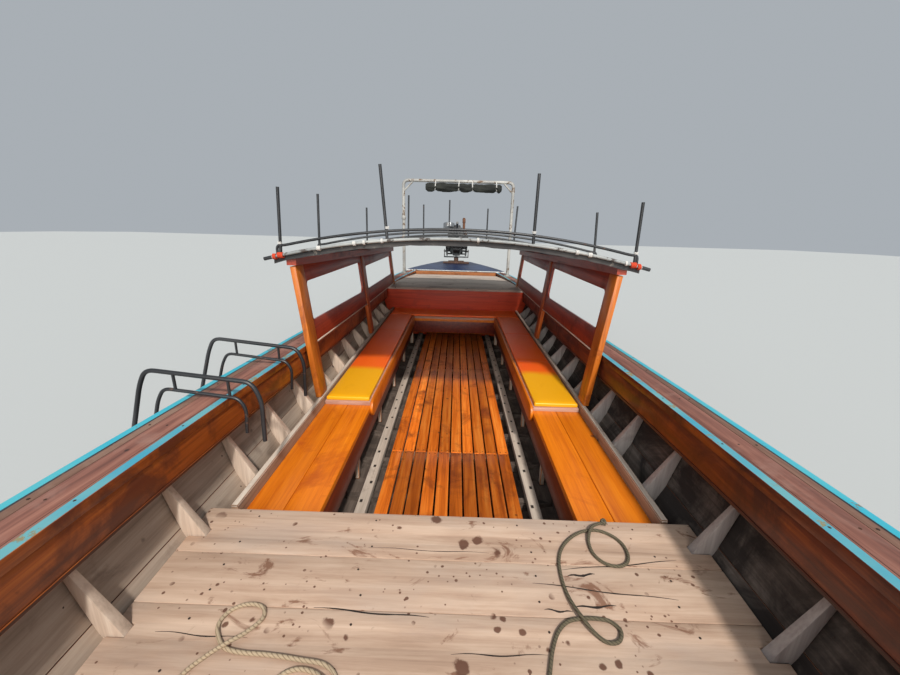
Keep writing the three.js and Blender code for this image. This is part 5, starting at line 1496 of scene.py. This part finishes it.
def make_arch():
    """The arch over the stern: one bent pipe with braces, welded feet and a collar."""
    foot = max(sheer(ARCH_Y - 0.06), sheer(ARCH_Y + 0.06)) + SEAM
    arch = Build()
    corners = [(-ARCH_HALF, ARCH_Y, foot + 0.007), (-ARCH_HALF, ARCH_Y, ARCH_TOP),
               (ARCH_HALF, ARCH_Y, ARCH_TOP), (ARCH_HALF, ARCH_Y, foot + 0.007)]
    arch.tube(bent(corners, 0.095, 10), ARCH_PIPE, 20)
    # Columns: radius, distance along the axis
    weld = [(0.0, 0.011), (0.034, 0.011), (0.030, 0.018), (0.0255, 0.021), (0.0, 0.021)]
    bolt = [(0.0, 0.0115), (0.009, 0.0115), (0.009, 0.018), (0.0, 0.019)]
    collar = [(0.0, 0.0), (0.034, 0.0), (0.036, 0.002), (0.036, 0.058), (0.034, 0.060),
              (0.0, 0.060)]
    for sign in (-1, 1):
        arch.tube([(sign * ARCH_HALF, ARCH_Y, ARCH_TOP - 0.18),
                   (sign * (ARCH_HALF - 0.18), ARCH_Y, ARCH_TOP)], 0.014, 14)
        x = sign * ARCH_HALF
        arch.box(x - 0.06, x + 0.06, ARCH_Y - 0.06, ARCH_Y + 0.06, foot, foot + 0.012)
        arch.turned(weld, (x, ARCH_Y, foot), (0, 0, 1), 20)
        for dx in (-0.043, 0.043):
            for dy in (-0.043, 0.043):
                arch.turned(bolt, (x + dx, ARCH_Y + dy, foot), (0, 0, 1), 6, 1)
    arch.turned(collar, (-ARCH_HALF, ARCH_Y, 1.56), (0, 0, 1), 24)
    arch.done("arch", ["arch", "steel"], replaces=("stern_arch",), angle=45)


def make_ropes():
    """The two loose ropes, laid along the frame's routes, with a knot in each end."""
    radius = ROPE_DIAMETER / 2
    middle = ON_DECK + radius / math.cos(math.pi / 8)
    for side, route in ROPE_ROUTES.items():
        corners = [Vector((x, y, middle + lift)) for x, y, lift in route]
        path = centripetal(corners, 6)
        rope = Build()
        rope.tube(path, radius, 10)
        piece = rope.done(f"rope_line_{side}", f"rope_{side}", angle=60,
                          replaces=(f"rope_{side}",))
        for k, end in enumerate((corners[0], corners[-1])):
            knot = Build()
            core = Vector((end.x, end.y, ON_DECK + KNOT_RADIUS * 0.86))
            steps = 26
            loop = []
            for t in range(steps + 1):
                a = 4 * math.pi * t / steps
                loop.append(core + Vector((
                    0.0075 * math.cos(a), 0.0075 * math.sin(a), 0.0055 * math.sin(1.5 * a))))
            knot.tube(loop, radius * 0.95, 8)
            for strand in range(5):
                a = strand * 1.3 + k
                way = Vector((math.cos(a), math.sin(a), 0)) * 0.012
                tip = core + way
                tip.z = FOREDECK_TOP + 0.002
                knot.tube([core + way * 0.3, core + way * 0.8, tip], 0.0014, 5)
            knot.done(f"rope_knot_{side}_{k + 1}", f"rope_{side}",
                                  angle=60)


def centripetal(points, steps):
    """A smooth line through the points, as the frame's own curve."""
    line = []
    last = len(points) - 1
    for i in range(last):
        p1, p2 = points[i], points[i + 1]
        p0 = points[i - 1] if i else p1 * 2 - p2
        p3 = points[i + 2] if i + 2 <= last else p2 * 2 - p1
        d0, d1, d2 = ((a - b).length ** 0.5 for a, b in ((p1, p0), (p2, p1), (p3, p2)))
        m1 = ((p1 - p0) / d0 - (p2 - p0) / (d0 + d1) + (p2 - p1) / d1) * d1
        m2 = ((p2 - p1) / d1 - (p3 - p1) / (d1 + d2) + (p3 - p2) / d2) * d1
        for k in range(steps):
            a, b, c, d = hermite(k / steps)
            line.append(a * p1 + b * m1 + c * p2 + d * m2)
    line.append(points[-1])
    return line


def make_awning():
    """The awning rolled up under the arch: baggy folds between its ties, narrowed at its ends."""
    roll = Build()
    middle = ARCH_TOP - ARCH_PIPE - ROLL_RADIUS - SEAM
    length = ROLL_PORT - ROLL_STARBOARD
    count, sides = 96, 36
    ties = (0.13, 0.44, 0.62, 0.93)
    lower = ROLL_RADIUS + 0.006
    rows = []
    for k in range(count + 1):
        t = k / count
        x = ROLL_STARBOARD + length * t
        pinch = sum(math.exp(-(((t - tie) / 0.020) ** 2)) for tie in ties)
        ends = math.exp(-((t / 0.02) ** 2)) + math.exp(-(((1 - t) / 0.02) ** 2))
        bag = 0.5 + 0.5 * math.cos(2 * math.pi * min(
            abs(t - (a + b) / 2) / (b - a) for a, b in zip((0.0,) + ties, ties + (1.0,))))
        row = []
        for i in range(sides):
            a = 2 * math.pi * i / sides
            down = max(0.0, -math.sin(a))
            fold = (0.085 * math.sin(4 * a + 7 * t + 1.2 * math.sin(23 * t))
                    + 0.055 * math.sin(7 * a - 21 * t) + 0.03 * math.sin(13 * a + 45 * t))
            body = 0.86 + 0.20 * bag * down - 0.26 * pinch * (0.4 + 0.6 * down) - 0.3 * ends
            r = ROLL_RADIUS * min(body + fold * (1 - 0.7 * min(pinch, 1)), 0.985 + 0.1 * down)
            row.append((x, ARCH_Y + r * math.cos(a), middle + max(r * math.sin(a), -lower)))
        rows.append(row)
    roll.rows(rows)
    roll.done("awning", "canvas", replaces=("awning_roll",), angle=80)
    cords = Build()
    wide = (ROLL_RADIUS - 0.010) * 0.86
    for k, tie in enumerate(ties):
        x = ROLL_STARBOARD + length * tie
        for turn in (-0.005, 0.004):
            cords.tube([(x + turn + 0.006 * math.sin(a + k), ARCH_Y + wide * math.cos(a),
                         middle + 0.024 + lower * math.sin(a)) for a in circle(32, 1)], 0.0032, 7)
    cords.done("awning_ties", "white_rope", angle=80)


def camera_and_light():
    eye = placed("camera", bpy.data.cameras.new("camera"))
    eye.data.type = "PERSP"
    eye.data.sensor_width = 36
    eye.data.lens = CAMERA_LENS
    eye.data.clip_start = 0.02
    eye.location = CAMERA
    turn = Matrix.Rotation(math.radians(CAMERA_YAW), 4, "Z")
    tilt = Matrix.Rotation(math.radians(90 - CAMERA_PITCH), 4, "X")
    roll = Matrix.Rotation(math.radians(CAMERA_ROLL), 4, "Z")
    eye.rotation_euler = (turn @ tilt @ roll).to_euler()
    bpy.context.scene.camera = eye

    # Columns: name, height and turn in degrees, energy, spread in degrees, colour
    for name, height, turned, energy, spread, colour in (
            ("sun", SUN_HEIGHT, SUN_TURN, 2.9, 4, (1.0, 0.96, 0.90)),
            ("fill", FILL_HEIGHT, 0, 2.3, 50, (1.0, 0.97, 0.93))):
        light = placed(name, bpy.data.lights.new(name, "SUN"))
        light.data.energy = energy
        light.data.angle = math.radians(spread)
        light.data.color = colour
        light.rotation_euler = (math.radians(90 - height), 0, math.radians(turned))

    world = bpy.data.worlds.new("studio")
    bpy.context.scene.world = world
    world.use_nodes = True
    shade = world.node_tree.nodes["Background"]
    shade.inputs["Color"].default_value = (0.86, 0.93, 1.0, 1)
    shade.inputs["Strength"].default_value = 0.46
    bpy.context.scene.view_settings.view_transform = "Standard"


def make_stage():
    """A pale floor at the waterline, open where the hull stands in it."""
    reach = 40.0
    bow = (0.0, -5.42)
    line = []
    for y in stations(-5.2, HULL_BACK + TRANSOM - 0.004, 0.2):
        at = min(y, HULL_BACK)
        line.append((skin(at, side_at(at, 0.0, 0.0), 0.012)[0], y))
    ring = [bow, *line, *[(-x, y) for x, y in reversed(line)]]
    outer = []
    for x, y in ring:
        a = math.atan2(y, x)
        far = reach / max(abs(math.cos(a)), abs(math.sin(a)))
        outer.append((far * math.cos(a), far * math.sin(a)))
    count = len(ring)
    faces = [(i, (i + 1) % count, count + (i + 1) % count, count + i) for i in range(count)]
    mesh = bpy.data.meshes.new("studio_floor")
    mesh.from_pydata([(x, y, 0) for x, y in ring + outer], [], faces)
    mesh.materials.append(Shade("studio_floor").finish((0.46, 0.48, 0.48), 0.8))
    placed("studio_floor", mesh)


# CAD nodes that keep their shape, with softened edges. Columns: node, material, width of the bevel
SOFTENED = [
    ("transom", "outside", 0.003), ("stem_post", "stem", 0.006), ("keel", "outside", 0.004),
    ("bow_bulkhead", "bulkhead", 0.002), ("aft_bulkhead", "bulkhead", 0.002),
    ("engine_bed", "cap_dark", 0.004), ("engine_yoke", "engine", 0.002),
    ("engine_frame", "engine", 0.003), ("engine_block", "engine", 0.005),
    ("cylinder_head", "engine", 0.004), ("exhaust", "rust", 0.0), ("air_cleaner", "steel", 0.003),
    ("bell_housing", "steel", 0.003), ("shaft_tube", "steel", 0.001),
    ("tiller", "black_pipe", 0.0), ("propeller", "bronze", 0.0),
]

camera_and_light()
make_ropes()
make_stage()
make_hull_sides()
make_gunwales()
make_foredeck()
make_bow_deck()
make_aft_deck()
make_stern_deck()
make_deck_marks()
make_floor()
make_benches()
make_pads()
make_windows()
make_roof()
make_lashings()
make_arch()
make_awning()
make_ladder()

for node, key, width in SOFTENED:
    dressed(node, key, width)
for side, _ in SIDES:
    for number, key in (("1", "post"), ("2", "red_post"), ("3", "post")):
        dressed(f"post_{side}_{number}", key, 0.004)
    repaint(f"roof_plate_{side}", "frame")
repaint("hull_bottom", "bilge")
